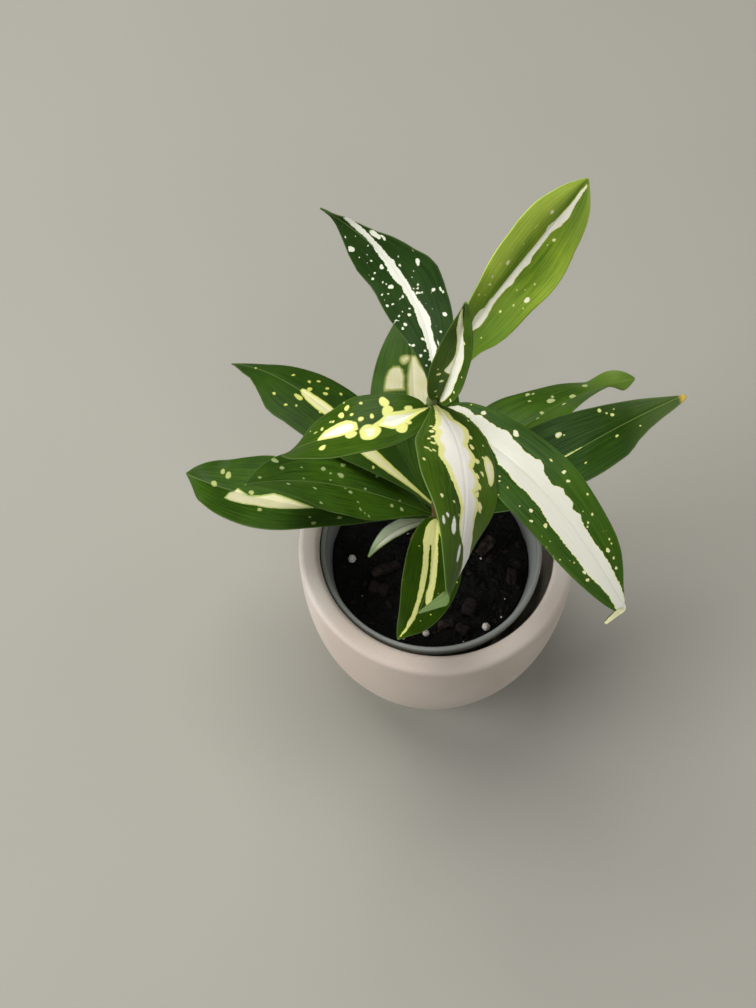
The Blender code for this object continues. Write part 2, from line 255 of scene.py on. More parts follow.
def coverPot():
    rim, top, wall, floor = pot["rimRadius"], pot["height"], pot["wall"], pot["floor"]
    edge, foot = pot["rimRound"], pot["footRound"]
    inner = rim - wall
    outline = [(0, floor)]
    outline += [(r, floor) for r in (10, 20, innerRadius(floor) - 4)]
    outline += roundCorner((innerRadius(floor), floor), (innerRadius(floor) - 4, floor),
                           (innerRadius(floor + 4), floor + 4))
    outline += [(innerRadius(z), z) for z in np.linspace(floor + 8, top - edge - 4, 24)]
    outline += roundCorner((inner, top), (inner, top - edge), (inner + edge, top))
    outline += [(inner + wall / 2, top + 0.1)]
    outline += roundCorner((rim, top), (rim - edge, top), (potRadius(top - edge), top - edge))
    outline += [(potRadius(z), z) for z in np.linspace(top - edge - 4, foot + 3, 24)]
    base = pot["footRadius"]
    outline += roundCorner((base, 0), (potRadius(foot), foot), (base - foot, 0))
    outline += [(base - foot - 3, 0), (base - foot - 4, 0.6), (12, 0.6), (0, 0.6)]
    shape = turned(outline, pot["turns"])
    for vert in shape.verts:  # thrown walls are never quite even; the foot and the floor stay flat
        flat = Vector((vert.co.x, vert.co.y, 0))
        if vert.co.z > 2 * mm and flat.length > 20 * mm:
            push = ripple(vert.co, 22, 4) * pot["uneven"] * mm
            vert.co += flat.normalized() * push
    return addPiece("cover_pot_body", shape, [potStoneware()], "cover_pot")


# Growing pot: thin plastic with a rolled lip, standing a little to the left
liner = {
    "shift": -2.4,
    "rimRadius": 48.2,
    "footRadius": 33,
    "foot": 10.3,
    "top": 87,
    "wall": 1.0,
    "lipDepth": 5,
    "lipProud": 1.2,
    "holes": 5,
    "holeRadius": 3.5,
    "holeRing": 22,
    "turns": 128,
    "colour": tint(142, 145, 141),
    "dust": tint(160, 163, 160),
    "shade": tint(78, 81, 80),
    "shadeFrom": 83,  # below the lip, between these heights
    "shadeTo": 73,
}


def linerRadius(z):
    share = (z - liner["foot"]) / (liner["top"] - liner["foot"])
    return liner["footRadius"] + (liner["rimRadius"] - liner["lipProud"] - liner["footRadius"]) * share


def linerPlastic():
    paint = Paint("growing pot plastic", Specular_IOR_Level=0.5)
    where = paint.place()
    scuff = paint.cloud(where, 130, 5, 0.7)
    patch = paint.ease(paint.cloud(where, 45, 3), 0.45, 0.68)
    low = paint.ease(paint.part(where, "Z"), liner["shadeFrom"] * mm, liner["shadeTo"] * mm)
    dust = patch * paint.ease(scuff, 0.45, 0.7) * 0.4 + low * paint.ease(scuff, 0.35, 0.65) * 0.35
    colour = paint.mix(dust, liner["colour"], liner["dust"])
    colour = paint.mix(low * 0.6, colour, liner["shade"])
    return paint.finish(colour, 0.36 + scuff * 0.25, scuff, 0.15, 0.0004)


def growingPot():
    wall, top, foot, rim = liner["wall"], liner["top"], liner["foot"], liner["rimRadius"]
    depth, proud = liner["lipDepth"], liner["lipProud"]
    ring, hole = liner["holeRing"], liner["holeRadius"]
    radii = [0, 6, 12, ring - hole, ring, ring + hole, linerRadius(foot) - 3]
    outline = [(r, foot + wall) for r in radii]
    outline += roundCorner((linerRadius(foot) - wall, foot + wall), (linerRadius(foot) - 3, foot + wall),
                           (linerRadius(foot + 3) - wall, foot + 3), 3)
    outline += [(linerRadius(z) - wall, z) for z in np.linspace(foot + 6, top - 3.2, 22)]
    outline += [(rim - proud - wall - 0.15, top - 2.2), (rim - proud - wall + 0.1, top - 1.0)]
    bead = 0.5 * (proud + wall)
    centre = rim - bead
    for i in range(9):  # the rolled lip
        angle = math.pi * (1 - i / 8)
        outline.append((centre + bead * math.cos(angle), top - bead + bead * math.sin(angle)))
    outline += [(rim, top - 2.5), (rim - 0.1, top - depth + 0.4), (rim - 0.5, top - depth),
                (rim - proud, top - depth + 0.1)]
    outline += [(linerRadius(z), z) for z in np.linspace(top - depth - 1.5, foot + 3, 22)]
    outline += roundCorner((linerRadius(foot), foot), (linerRadius(foot + 1.5), foot + 1.5),
                           (linerRadius(foot) - 1.5, foot), 3)
    outline += [(r, foot) for r in radii[::-1]]
    shape = turned(outline, liner["turns"], (liner["shift"] * mm, 0, 0))
    piece = addPiece("growing_pot_shell", shape, [linerPlastic()], "nursery_pot")
    holes = bmesh.new()
    for i in range(liner["holes"]):
        angle = 2 * math.pi * i / liner["holes"]
        spot = (liner["shift"] * mm + ring * mm * math.cos(angle), ring * mm * math.sin(angle), foot * mm)
        bmesh.ops.create_cone(holes, cap_ends=True, segments=32, radius1=hole * mm, radius2=hole * mm,
                              depth=4 * wall * mm, matrix=Matrix.Translation(spot))
    tool = placed("drain holes", meshOf("drain holes", holes))
    cut = piece.modifiers.new("drain holes", "BOOLEAN")
    cut.operation = "DIFFERENCE"
    cut.object = tool
    applyModifiers(piece)
    bpy.data.objects.remove(tool)
    return piece


def applyModifiers(piece):
    deps = bpy.context.evaluated_depsgraph_get()
    done = bpy.data.meshes.new_from_object(piece.evaluated_get(deps))
    piece.modifiers.clear()
    piece.data = done


# Soil, bark and perlite
soil = {
    "top": 74,
    "crown": 1.5,
    "bottom": 11.6,
    "rings": 150,
    "turns": 220,
    "edgeDrop": 1.2,
    "edgeWidth": 1.5,
    "crumbs": 900,
    "crumbReach": 43,
    "smallCrumbs": (0.35, 1.0),  # size between these, for this share of the crumbs
    "smallShare": 0.8,
    "bigCrumbs": (1.0, 2.0),
    "brownShare": 0.35,
    "grit": 36,
    "gritReach": 42,
    "gritSizes": (0.25, 0.6),
    "fibres": 70,
    "fibreReach": 40,
    "fibreRadius": 0.16,
    "fibreLengths": (3, 9),
    "fibreSteps": 6,
    "fibreBend": 0.5,  # radians at most from one step to the next
    # the two darkest colours here are near black: the soil's own dark tone with painted shade over it
    "dark": tint(6, 5, 4),
    "brown": tint(20, 14, 9),
    "rust": tint(34, 22, 14),
    "shadowBlack": tint(2, 2, 1),
}


def soilRadius(z):
    return linerRadius(z) - liner["wall"] - 0.15


def soilLevel(x, y):  # height of the soil at a place, all in mm
    away = math.hypot(x - liner["shift"], y)
    plain = soil["top"] + soil["crown"] * float(np.interp(away, (15, 30, 42), (1, 0.6, 0)))
    lumps = 1.1 * ripple((x, y, 0), 0.09, 2) + 0.8 * ripple((x, y, 0), 0.28, 5)
    crumbly = 0.45 * ripple((x, y, 0), 0.8, 9) + 0.2 * ripple((x, y, 0), 2.1, 3)
    return plain + lumps + crumbly


def soilMix():
    paint = Paint("dark soil", Specular_IOR_Level=0.25)
    where = paint.place()
    clods = paint.cloud(where, 220, 6, 0.75)
    grains = paint.cells(where, 1500)
    broad = paint.ease(paint.cloud(where, 60, 3), 0.42, 0.62)
    # painted shade: the hollows between the clods turn near black
    colour = paint.mix(paint.ease(clods, 0.34, 0.62), soil["shadowBlack"], soil["dark"])
    colour = paint.mix(broad * paint.ease(clods, 0.5, 0.72) * 0.5, colour, soil["brown"])
    colour = paint.mix(paint.ease(grains, 0.2, 0.05) * 0.25, colour, soil["rust"])
    return paint.finish(colour, 0.9 - clods * 0.2, clods + grains * 0.5, 0.9, 0.0012)


def nextRing(shape, ring):  # extrudes a ring of edges; returns the new points and edges
    made = bmesh.ops.extrude_edge_only(shape, edges=ring)["geom"]
    verts = [g for g in made if isinstance(g, bmesh.types.BMVert)]
    edges = [g for g in made if isinstance(g, bmesh.types.BMEdge)]
    return verts, [edge for edge in edges if all(v in verts for v in edge.verts)]


def soilBody(material):
    reach = soilRadius(soil["top"]) * mm
    shape = bmesh.new()
    bmesh.ops.create_circle(shape, cap_ends=False, segments=soil["turns"], radius=reach)
    ring = list(shape.edges)
    for left in range(soil["rings"], 1, -1):  # inward over the top
        verts, ring = nextRing(shape, ring)
        scale = (left - 1) / left
        bmesh.ops.scale(shape, verts=verts, vec=(scale, scale, 1))
    bmesh.ops.contextual_create(shape, geom=ring)
    bmesh.ops.translate(shape, verts=shape.verts, vec=(liner["shift"] * mm, 0, 0))
    centre = Vector((liner["shift"] * mm, 0, 0))
    for vert in shape.verts:
        away = (vert.co - centre).length
        level = soilLevel(vert.co.x / mm, vert.co.y / mm)
        inset = min(max((away - (reach - soil["edgeWidth"] * mm)) / (soil["edgeWidth"] * mm), 0), 1)
        vert.co.z = (level - soil["edgeDrop"] * inset * inset) * mm
    ring = [edge for edge in shape.edges if edge.is_boundary]
    edgeTop = soil["top"] - soil["edgeDrop"]
    for depth in (0.35, 0.7, 1.0):  # down the side to the bottom
        verts, ring = nextRing(shape, ring)
        z = edgeTop + (soil["bottom"] - edgeTop) * depth
        for vert in verts:
            out = Vector((vert.co.x - centre.x, vert.co.y, 0)).normalized()
            vert.co = centre + out * soilRadius(z) * mm + Vector((0, 0, z * mm))
    bmesh.ops.contextual_create(shape, geom=ring)
    bmesh.ops.triangulate(shape, faces=[f for f in shape.faces if len(f.verts) > 4])
    bmesh.ops.recalc_face_normals(shape, faces=shape.faces)
    return addPiece("soil_body", shape, [material], "potting_soil")


def lump(shape, rng, centre, size, seed):  # one irregular grain; size is three half-lengths, mm
    made = bmesh.ops.create_icosphere(shape, subdivisions=1, radius=1)["verts"]
    turn = Matrix.Rotation(rng.uniform(0, 6.28), 3, "Z") @ Matrix.Rotation(rng.uniform(-0.5, 0.5), 3, "X")
    for vert in made:
        bumpy = 1 + 0.3 * ripple(vert.co, 1.3, seed)
        rough = Vector((vert.co.x * size[0], vert.co.y * size[1], vert.co.z * size[2])) * bumpy
        vert.co = (turn @ rough + Vector(centre)) * mm
    return made


def strewn(rng, reach):  # a place on the soil within reach mm of its middle
    away, angle = reach * math.sqrt(rng.random()), rng.uniform(0, 2 * math.pi)
    return liner["shift"] + away * math.cos(angle), away * math.sin(angle)


def overEdge(x, y, margin):  # nearer than margin mm to the growing pot's wall
    return math.hypot(x - liner["shift"], y) > soilRadius(soil["top"]) - margin


def crumbs(material, brown):
    rng = random.Random(7)
    shape = bmesh.new()
    for i in range(soil["crumbs"]):
        x, y = strewn(rng, soil["crumbReach"])
        small = rng.random() < soil["smallShare"]
        size = rng.uniform(*soil["smallCrumbs" if small else "bigCrumbs"])
        if overEdge(x, y, size + 0.8):
            continue
        parts = (size * rng.uniform(0.9, 1.5), size * rng.uniform(0.6, 1.0), size * rng.uniform(0.5, 0.8))
        first = len(shape.faces)
        lump(shape, rng, (x, y, soilLevel(x, y) + size * 0.15), parts, i * 0.37)
        shape.faces.ensure_lookup_table()
        if rng.random() < soil["brownShare"]:
            for face in shape.faces[first:]:
                face.material_index = 1
    bmesh.ops.recalc_face_normals(shape, faces=shape.faces)
    return addPiece("soil_crumbs", shape, [material, brown], smooth=False)


def grit(material):
    rng = random.Random(11)
    shape = bmesh.new()
    for i in range(soil["grit"]):
        x, y = strewn(rng, soil["gritReach"])
        size = rng.uniform(*soil["gritSizes"])
        lump(shape, rng, (x, y, soilLevel(x, y) + size * 0.4), (size, size * 0.9, size * 0.8), i * 0.61)
    bmesh.ops.recalc_face_normals(shape, faces=shape.faces)
    return addPiece("perlite_grit", shape, [material], smooth=False)


def fibres(material):
    rng = random.Random(23)
    shape = bmesh.new()
    for _ in range(soil["fibres"]):
        x, y = strewn(rng, soil["fibreReach"])
        heading = rng.uniform(0, 6.28)
        step = rng.uniform(*soil["fibreLengths"]) / soil["fibreSteps"]
        spot = Vector((x, y, soilLevel(x, y) + 0.2))
        radius = soil["fibreRadius"] * mm
        ring = bmesh.ops.create_circle(shape, cap_ends=True, segments=5, radius=radius)["verts"]
        face = ring[0].link_faces[0]
        level = Vector((math.cos(heading), math.sin(heading), 0))
        tilt = Vector((0, 0, 1)).rotation_difference(level).to_matrix()
        bmesh.ops.rotate(shape, verts=ring, cent=(0, 0, 0), matrix=tilt)
        bmesh.ops.translate(shape, verts=ring, vec=spot * mm)
        for _ in range(soil["fibreSteps"]):
            heading += rng.uniform(-soil["fibreBend"], soil["fibreBend"])
            nextX = spot.x + step * math.cos(heading)
            nextY = spot.y + step * math.sin(heading)
            if overEdge(nextX, nextY, 1):
                break
            nextSpot = Vector((nextX, nextY, soilLevel(nextX, nextY) + 0.25))
            face = extruded(shape, face)
            bmesh.ops.translate(shape, verts=face.verts, vec=(nextSpot - spot) * mm)
            spot = nextSpot
    bmesh.ops.recalc_face_normals(shape, faces=shape.faces)
    return addPiece("soil_fibres", shape, [material], smooth=True)


def extruded(shape, face):  # a copy of the end face, joined to the old one by new sides
    made = bmesh.ops.extrude_face_region(shape, geom=[face])["geom"]
    if any(len(edge.link_faces) > 2 for edge in face.edges):
        bmesh.ops.delete(shape, geom=[face], context="FACES_ONLY")
    return [g for g in made if isinstance(g, bmesh.types.BMFace)][0]


bark = {
    "dark": tint(12, 9, 7),
    "red": tint(34, 22, 17),
    "pale": tint(64, 50, 42),
    "layers": 5,
    "layerDepth": 0.16,
    "lumpDepth": 0.9,
    "grainDepth": 0.35,
    "smoothings": 14,
    "chips": 8,
}


def barkSkin():
    paint = Paint("pine bark", Specular_IOR_Level=0.25)
    where = paint.place()
    flakes = paint.cloud(where, 420, 5, 0.7)
    broad = paint.cloud(where, 110, 3)
    colour = paint.mix(paint.ease(flakes, 0.35, 0.65), bark["dark"], bark["red"])
    worn = paint.ease(broad, 0.52, 0.7) * paint.ease(flakes, 0.4, 0.6)
    colour = paint.mix(worn * 0.8, colour, bark["pale"])
    return paint.finish(colour, 0.75 + flakes * 0.2, flakes + broad, 0.8, 0.0008)


def barkChip(number, material):
    name = f"bark_chip_{number}"
    low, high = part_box(name)
    shape = bmesh.new()
    shape.from_mesh(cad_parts[name].data)
    bmesh.ops.remove_doubles(shape, verts=shape.verts, dist=0.00001)
    bmesh.ops.subdivide_edges(shape, edges=shape.edges, cuts=3, use_grid_fill=True)
    bmesh.ops.subdivide_edges(shape, edges=shape.edges, cuts=2, use_grid_fill=True)
    for _ in range(bark["smoothings"]):
        bmesh.ops.smooth_vert(shape, verts=shape.verts, factor=0.5, use_axis_x=True, use_axis_y=True,
                              use_axis_z=True)
    shape.normal_update()
    for vert in shape.verts:
        vert.normal.normalize()
    moves = []
    for vert in shape.verts:
        height = (vert.co.z - low.z) / (high.z - low.z)
        layer = math.sin(height * bark["layers"] * math.pi + 3 * ripple(vert.co, 130, number))
        push = bark["layerDepth"] * layer + bark["lumpDepth"] * ripple(vert.co, 260, number)
        push += bark["grainDepth"] * ripple(vert.co, 800, number)
        moves.append(vert.normal * push * mm)
    for vert, move in zip(shape.verts, moves):
        vert.co += move
    for axis in range(3):  # fills the model's box again
        values = [vert.co[axis] for vert in shape.verts]
        least, most = min(values), max(values)
        for vert in shape.verts:
            vert.co[axis] = low[axis] + (vert.co[axis] - least) / (most - least) * (high[axis] - low[axis])
    return addPiece(f"bark_piece_{number}", shape, [material], name)


perlite = {
    "white": tint(226, 220, 212),
    "shade": tint(176, 166, 154),
    "stain": tint(120, 96, 74),
    "grains": 4,
}


def perliteSkin():
    paint = Paint("perlite", Specular_IOR_Level=0.3)
    where = paint.place()
    pores = paint.cells(where, 1600)
    stain = paint.ease(paint.cloud(where, 260, 4, 0.65), 0.5, 0.72)
    colour = paint.mix(paint.ease(pores, 0.35, 0.05) * 0.5, perlite["white"], perlite["shade"])
    colour = paint.mix(stain * 0.55, colour, perlite["stain"])
    return paint.finish(colour, 0.85 - pores * 0.1, pores + paint.cloud(where, 900, 3), 0.8, 0.0005)


def perliteGrain(number, material):
    name = f"perlite_{number}"
    low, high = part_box(name)
    middle, half = (low + high) / 2, (high - low) / 2
    shape = bmesh.new()
    bmesh.ops.create_icosphere(shape, subdivisions=4, radius=1)
    for vert in shape.verts:
        dent = 1 + 0.12 * ripple(vert.co, 2.2, number) + 0.06 * ripple(vert.co, 6, number) - 0.05
        pore = max(0.0, ripple(vert.co, 9, number + 5)) * 0.12
        vert.co = middle + Vector(vert.co[i] * half[i] * min(dent - pore, 1.04) for i in range(3))
    return addPiece(f"perlite_grain_{number}", shape, [material], name)


# Cane: height, then right (+X) and back (+Y), all in mm
cane = {
    "course": ((44, -9, 8), (77, -9, 8), (118, -1, 0.5), (160, -2, 0), (213, -6, 0)),
    "lowRadius": 2.6,
    "topRadius": 2.0,
    "ringEvery": 11,
    "ringSwell": 0.28,
    "ringRidge": 0.14,
    "ringGroove": 0.08,
    "sides": 28,
    "step": 0.5,
    "budHeight": 6,
    "young": tint(94, 108, 62),
    "grey": tint(120, 118, 96),
    "brown": tint(116, 84, 48),
    "scar": tint(80, 56, 34),
    "sheath": tint(150, 128, 84),
}


def caneCentre(z):  # straight from each point of the course to the next, in mm
    table = np.array(cane["course"], float)
    return np.array([np.interp(z, table[:, 0], table[:, 1]), np.interp(z, table[:, 0], table[:, 2])])


def caneRadius(z):
    share = (z - cane["course"][0][0]) / (cane["course"][-1][0] - cane["course"][0][0])
    return cane["lowRadius"] + (cane["topRadius"] - cane["lowRadius"]) * share


def caneSkin():
    paint = Paint("cane skin", Specular_IOR_Level=0.4)
    where = paint.place()
    z = paint.part(where, "Z")
    stretch = paint.node("ShaderNodeMapping", {}, {"Vector": where, "Scale": (1, 1, 0.12)})
    streaks = paint.cloud(stretch, 1400, 4, 0.65)
    blotches = paint.cloud(where, 260, 4, 0.6)
    up = paint.ease(z + (blotches - 0.5) * 0.05, 0.105, 0.165)
    colour = paint.mix(up, cane["brown"], cane["young"])
    colour = paint.mix(paint.ease(blotches, 0.45, 0.7) * 0.6, colour, cane["grey"])
    colour = paint.mix(paint.ease(streaks, 0.52, 0.75) * 0.5, colour, cane["scar"])
    scar = paint.ease(paint.held("scar"), 0.35, 0.9)
    colour = paint.mix(scar * 0.85, colour, cane["scar"])
    pale = paint.ease(paint.held("scar"), -0.2, -0.9)
    colour = paint.mix(pale * 0.6, colour, cane["sheath"])
    return paint.finish(colour, 0.5 + streaks * 0.3, streaks + blotches * 0.5, 0.5, 0.0004)


def caneStem():
    course = cane["course"]
    low, top = course[0][0], course[-1][0]
    heights = list(np.arange(low, top, cane["step"])) + [top]
    shape = bmesh.new()
    marks = shape.verts.layers.float.new("scar")
    ring = bmesh.ops.create_circle(shape, cap_ends=True, segments=cane["sides"], radius=1)["verts"]
    face = ring[0].link_faces[0]
    rows = [list(face.verts)]
    for _ in heights[1:]:
        face = extruded(shape, face)
        rows.append(list(face.verts))
    for step in range(1, cane["budHeight"] + 1):  # the bud at the top
        face = extruded(shape, face)
        rows.append(list(face.verts))
        heights.append(top + step)
    for height, row in zip(heights, rows):
        beat = (height / cane["ringEvery"]) % 1
        ridge, groove, broad = (math.exp(-((beat - middle) / width) ** 2)
                                for middle, width in ((0.5, 0.045), (0.42, 0.05), (0.47, 0.16)))
        swell = cane["ringSwell"] * broad + cane["ringRidge"] * ridge - cane["ringGroove"] * groove
        centre = caneCentre(min(height, top))
        radius = caneRadius(min(height, top)) + swell
        if height > top:
            share = (height - top) / cane["budHeight"]
            radius = caneRadius(top) * math.sqrt(max(1 - share, 0.0)) * 0.8 + 0.15
        for i, vert in enumerate(row):
            angle = 2 * math.pi * i / len(row)
            uneven = 1 + 0.04 * ripple((math.cos(angle), math.sin(angle), height * 0.25), 1.6, 8)
            r = radius * uneven
            vert.co = Vector((centre[0] + r * math.cos(angle), centre[1] + r * math.sin(angle), height)) * mm
            vert[marks] = ridge - groove
    bmesh.ops.recalc_face_normals(shape, faces=shape.faces)
    return addPiece("cane_stem", shape, [caneSkin()], "cane")


# Leaves. What all share comes first; lengths are in mm.
leafBlade = {
    "spacing": 0.52,  # between the points of the mesh
    "baseGap": 0.65,  # between the cane and a leaf's base
    "apexReach": 2.65,  # the same for a leaf above the cane's top, from its middle
    "stalkHalfWidth": 1.0,
    "tipHalfWidth": 0.4,
    "tailHalfWidth": 0.7,
    "edgeDroop": 0.12,
    "foldKept": 0.4,  # share of the fold that is left at the tip
    "sheath": 3.2,  # how far the base reaches back round the cane
    "sheathWider": 0.9,
    "sheathFold": 45,
    "midribDepth": 0.2,
    "midribWidth": 0.6,
    "ribSpread": 1.6,
    "thinEdge": 1.5,
    "thick": 0.85,
    "thin": 0.28,
    "thicknessSteps": 24,
    "lift": 0.12,
    "wave": 0.035,
}
leafDefaults = {"bow": 0, "skew": 0, "hook": 0, "tail": 0, "tipFrom": 0.82, "tipOver": 0.18, "waves": 3}

# Each leaf starts at height z on the cane and heads off at its azimuth and rise. By the tip it has
# drooped and turned that far; bow swings its middle and hook its tip. Roll turns the whole leaf about
# its midrib, twist more and more along it, curl only at the tip. Fold raises the two halves, and skew
# widens the left half towards the tip. Widest and tail are shares of the length; tipFrom and tipOver
# say where the tip's own bend starts and how much of the length it takes.
leafShapes = {
    "leaf_top_back_left": {
        "z": 210.3, "azimuth": 84, "rise": 17, "droop": -15, "turn": 86, "bow": -2, "length": 86, "width": 23,
        "skew": 0.21, "roll": -2, "twist": -58, "fold": 22, "widest": 0.51, "taper": 1.43, "curl": -58,
        "tail": 0.04,
    },
    "leaf_top_back_right": {
        "z": 205, "azimuth": 72, "rise": 24, "droop": 3, "turn": -20, "bow": -14, "length": 100, "width": 33,
        "skew": 0.17, "roll": 33, "twist": 24, "fold": 43, "widest": 0.64, "taper": 0.95, "curl": -11,
    },
    "leaf_top_young": {
        "z": 213.7, "azimuth": 2, "rise": 79, "droop": -13, "turn": 15, "bow": -6, "length": 61, "width": 17,
        "skew": -0.04, "roll": 61, "twist": -5, "fold": 59, "widest": 0.35, "taper": 1.07, "curl": 12,
    },
    "leaf_top_left": {
        "z": 209.5, "azimuth": 212, "rise": 11, "droop": 71, "turn": -39, "bow": -4, "length": 61,
        "width": 26, "skew": -0.02, "roll": -3, "twist": 32, "fold": 22, "widest": 0.44, "taper": 0.78,
        "curl": 23,
    },
    "leaf_top_front": {
        "z": 212.8, "azimuth": 296, "rise": 26, "droop": 69, "turn": -49, "bow": -3, "length": 95,
        "width": 36, "skew": -0.06, "roll": -7, "twist": -90, "fold": -4, "widest": 0.48, "taper": 1.02,
        "curl": -80, "hook": -55, "tail": 0.10, "tipFrom": 0.84, "tipOver": 0.05,
    },
    "leaf_top_front_right": {
        "z": 204, "azimuth": 329, "rise": 8, "droop": 51, "turn": -19, "bow": -10, "length": 109, "width": 28,
        "skew": -0.04, "roll": -3, "twist": -1, "fold": 15, "widest": 0.46, "taper": 0.69, "curl": -41,
        "hook": -104, "tail": 0.07, "tipFrom": 0.90, "tipOver": 0.03,
    },
    "leaf_low_back_left": {
        "z": 126, "azimuth": 149, "rise": 30, "droop": 66, "turn": 2, "bow": -10, "length": 112, "width": 31,
        "skew": 0.26, "roll": 5, "twist": 11, "fold": 1, "widest": 0.54, "taper": 1.37, "curl": 17,
    },
    "leaf_low_far_left": {
        "z": 115, "azimuth": 182, "rise": 8, "droop": 30, "turn": -39, "bow": 6, "length": 110, "width": 37,
        "skew": -0.13, "roll": 10, "twist": -11, "fold": 41, "widest": 0.62, "taper": 1.08, "curl": -50,
    },
    "leaf_low_left": {
        "z": 118.5, "azimuth": 171, "rise": 29, "droop": -7, "turn": 45, "bow": -7, "length": 89, "width": 35,
        "skew": -0.03, "roll": 0, "twist": 21, "fold": 20, "widest": 0.52, "taper": 1.15, "curl": 0,
    },
    "leaf_low_front": {
        "z": 119.5, "azimuth": 265, "rise": 15, "droop": -8, "turn": -34, "bow": 10, "length": 68,
        "width": 24, "skew": -0.04, "roll": -17, "twist": 6, "fold": 23, "widest": 0.40, "taper": 0.85,
        "curl": 34,
    },
    "leaf_low_pale_young": {
        "z": 112, "azimuth": 197, "rise": 20, "droop": 33, "turn": 40, "length": 32, "width": 8, "roll": 13,
        "twist": 12, "fold": 27, "widest": 0.44, "taper": 1.13, "curl": 0,
    },
    "leaf_low_right": {
        "z": 122, "azimuth": -9, "rise": 42, "droop": 18, "turn": 21, "bow": 14, "length": 113, "width": 35,
        "skew": -0.15, "roll": -3, "twist": 4, "fold": 36, "widest": 0.46, "taper": 1.24, "curl": -1,
    },
    "leaf_low_back_right": {
        "z": 115, "azimuth": 50, "rise": 27, "droop": 44, "turn": -30, "bow": -2, "length": 105, "width": 34,
        "skew": 0.02, "roll": 6, "twist": -68, "fold": 28, "widest": 0.45, "taper": 0.87, "curl": 81,
    },
    "leaf_low_back": {
        "z": 118.6, "azimuth": 108, "rise": 24, "droop": 8, "turn": -26, "length": 94, "width": 37,
        "roll": -2, "twist": -7, "fold": 11, "widest": 0.45, "taper": 1.21, "curl": 0,
    },
}

# How far each leaf's edge stands outside (+) or inside the plain outline: (s, mm), left then right.
leafEdges = {
    "plain": (((0, 0), (1, 0)), ((0, 0), (1, 0))),
    "leaf_top_back_left": (
        ((.4, 0), (.45, -.5), (.55, -1.4), (.6, -1.2), (.65, -.3), (.7, .6), (.78, .8), (.85, .2), (.9, 0)),
        ((.4, .4), (.45, 1.1), (.5, 2.0), (.55, 1.6), (.6, 0), (.65, -.4), (.7, -.9), (.75, -1.7), (.8, -1.5),
         (.85, -.9), (.9, .3), (.94, .5), (1, 0)),
    ),
    "leaf_top_back_right": (
        ((.35, 0), (.4, -.6), (.45, -1.5), (.55, -1.7), (.65, -1.6), (.7, -.9), (.8, -.5), (.88, -1.1),
         (.95, -.9), (1, 0)),
        ((.25, 0), (.3, 1.3), (.35, 1.5), (.4, 1.1), (.45, .5), (.5, 0), (.77, 0), (.82, .8), (.87, 1.3),
         (.92, 1.3), (1, 0)),
    ),
    "leaf_top_young": (((0, 0), (1, 0)), ((.15, 0), (.2, .8), (.3, 1.0), (.4, .5), (.5, 0))),
    "leaf_top_front": (
        ((.84, 0), (.88, .5), (.9, 1.3), (.95, .6), (1, 0)),
        ((.84, 0), (.88, .5), (.9, 1.3), (.95, .6), (1, 0)),
    ),
    "leaf_top_front_right": (
        ((0, .5), (.03, 1.5), (.06, 1.5), (.1, .9), (.15, .3), (.2, 0), (.7, 0), (.75, -.5), (.8, -1.7),
         (.85, -3.2), (.9, -3.6), (.93, -1.4), (.95, -.7), (1, -.3)),
        ((0, 0), (.92, 0), (.94, 1.1), (.98, .8), (1, .4)),
    ),
    "leaf_low_back_left": (
        ((.55, 0), (.6, -.2), (.65, .4), (.7, .4), (.75, -1.2), (.8, -2.2), (.85, -2.5), (.9, -.8), (.95, 0)),
        ((.5, 0), (.6, .6), (.65, .5), (.7, 0), (.8, -.6), (.85, -1.1), (.9, -.2), (.95, .6), (1, 0)),
    ),
    "leaf_low_far_left": (
        ((.4, 0), (.5, .6), (.65, .6), (.75, .3), (.85, 0)),
        ((.65, 0), (.7, -.3), (.75, -.8), (.8, -1.1), (.85, -1.1), (.9, -.5), (.95, 0)),
    ),
    "leaf_low_right": (
        ((.55, 0), (.62, -.6), (.7, -.8), (.78, -.4), (.85, 0)),
        ((.55, 0), (.6, .3), (.65, .8), (.7, 1.3), (.75, 2.0), (.78, 1.2), (.8, .2), (.85, -.3), (.9, .3),
         (.95, 1.3), (.98, 1.4), (1, .8)),
    ),
    "leaf_low_back_right": (
        ((.35, 0), (.4, 1.2), (.5, 1.5), (.6, 1.2), (.65, .8), (.8, .8), (.85, 1.2), (.9, .9), (1, 0)),
        ((0, 0), (1, 0)),
    ),
}
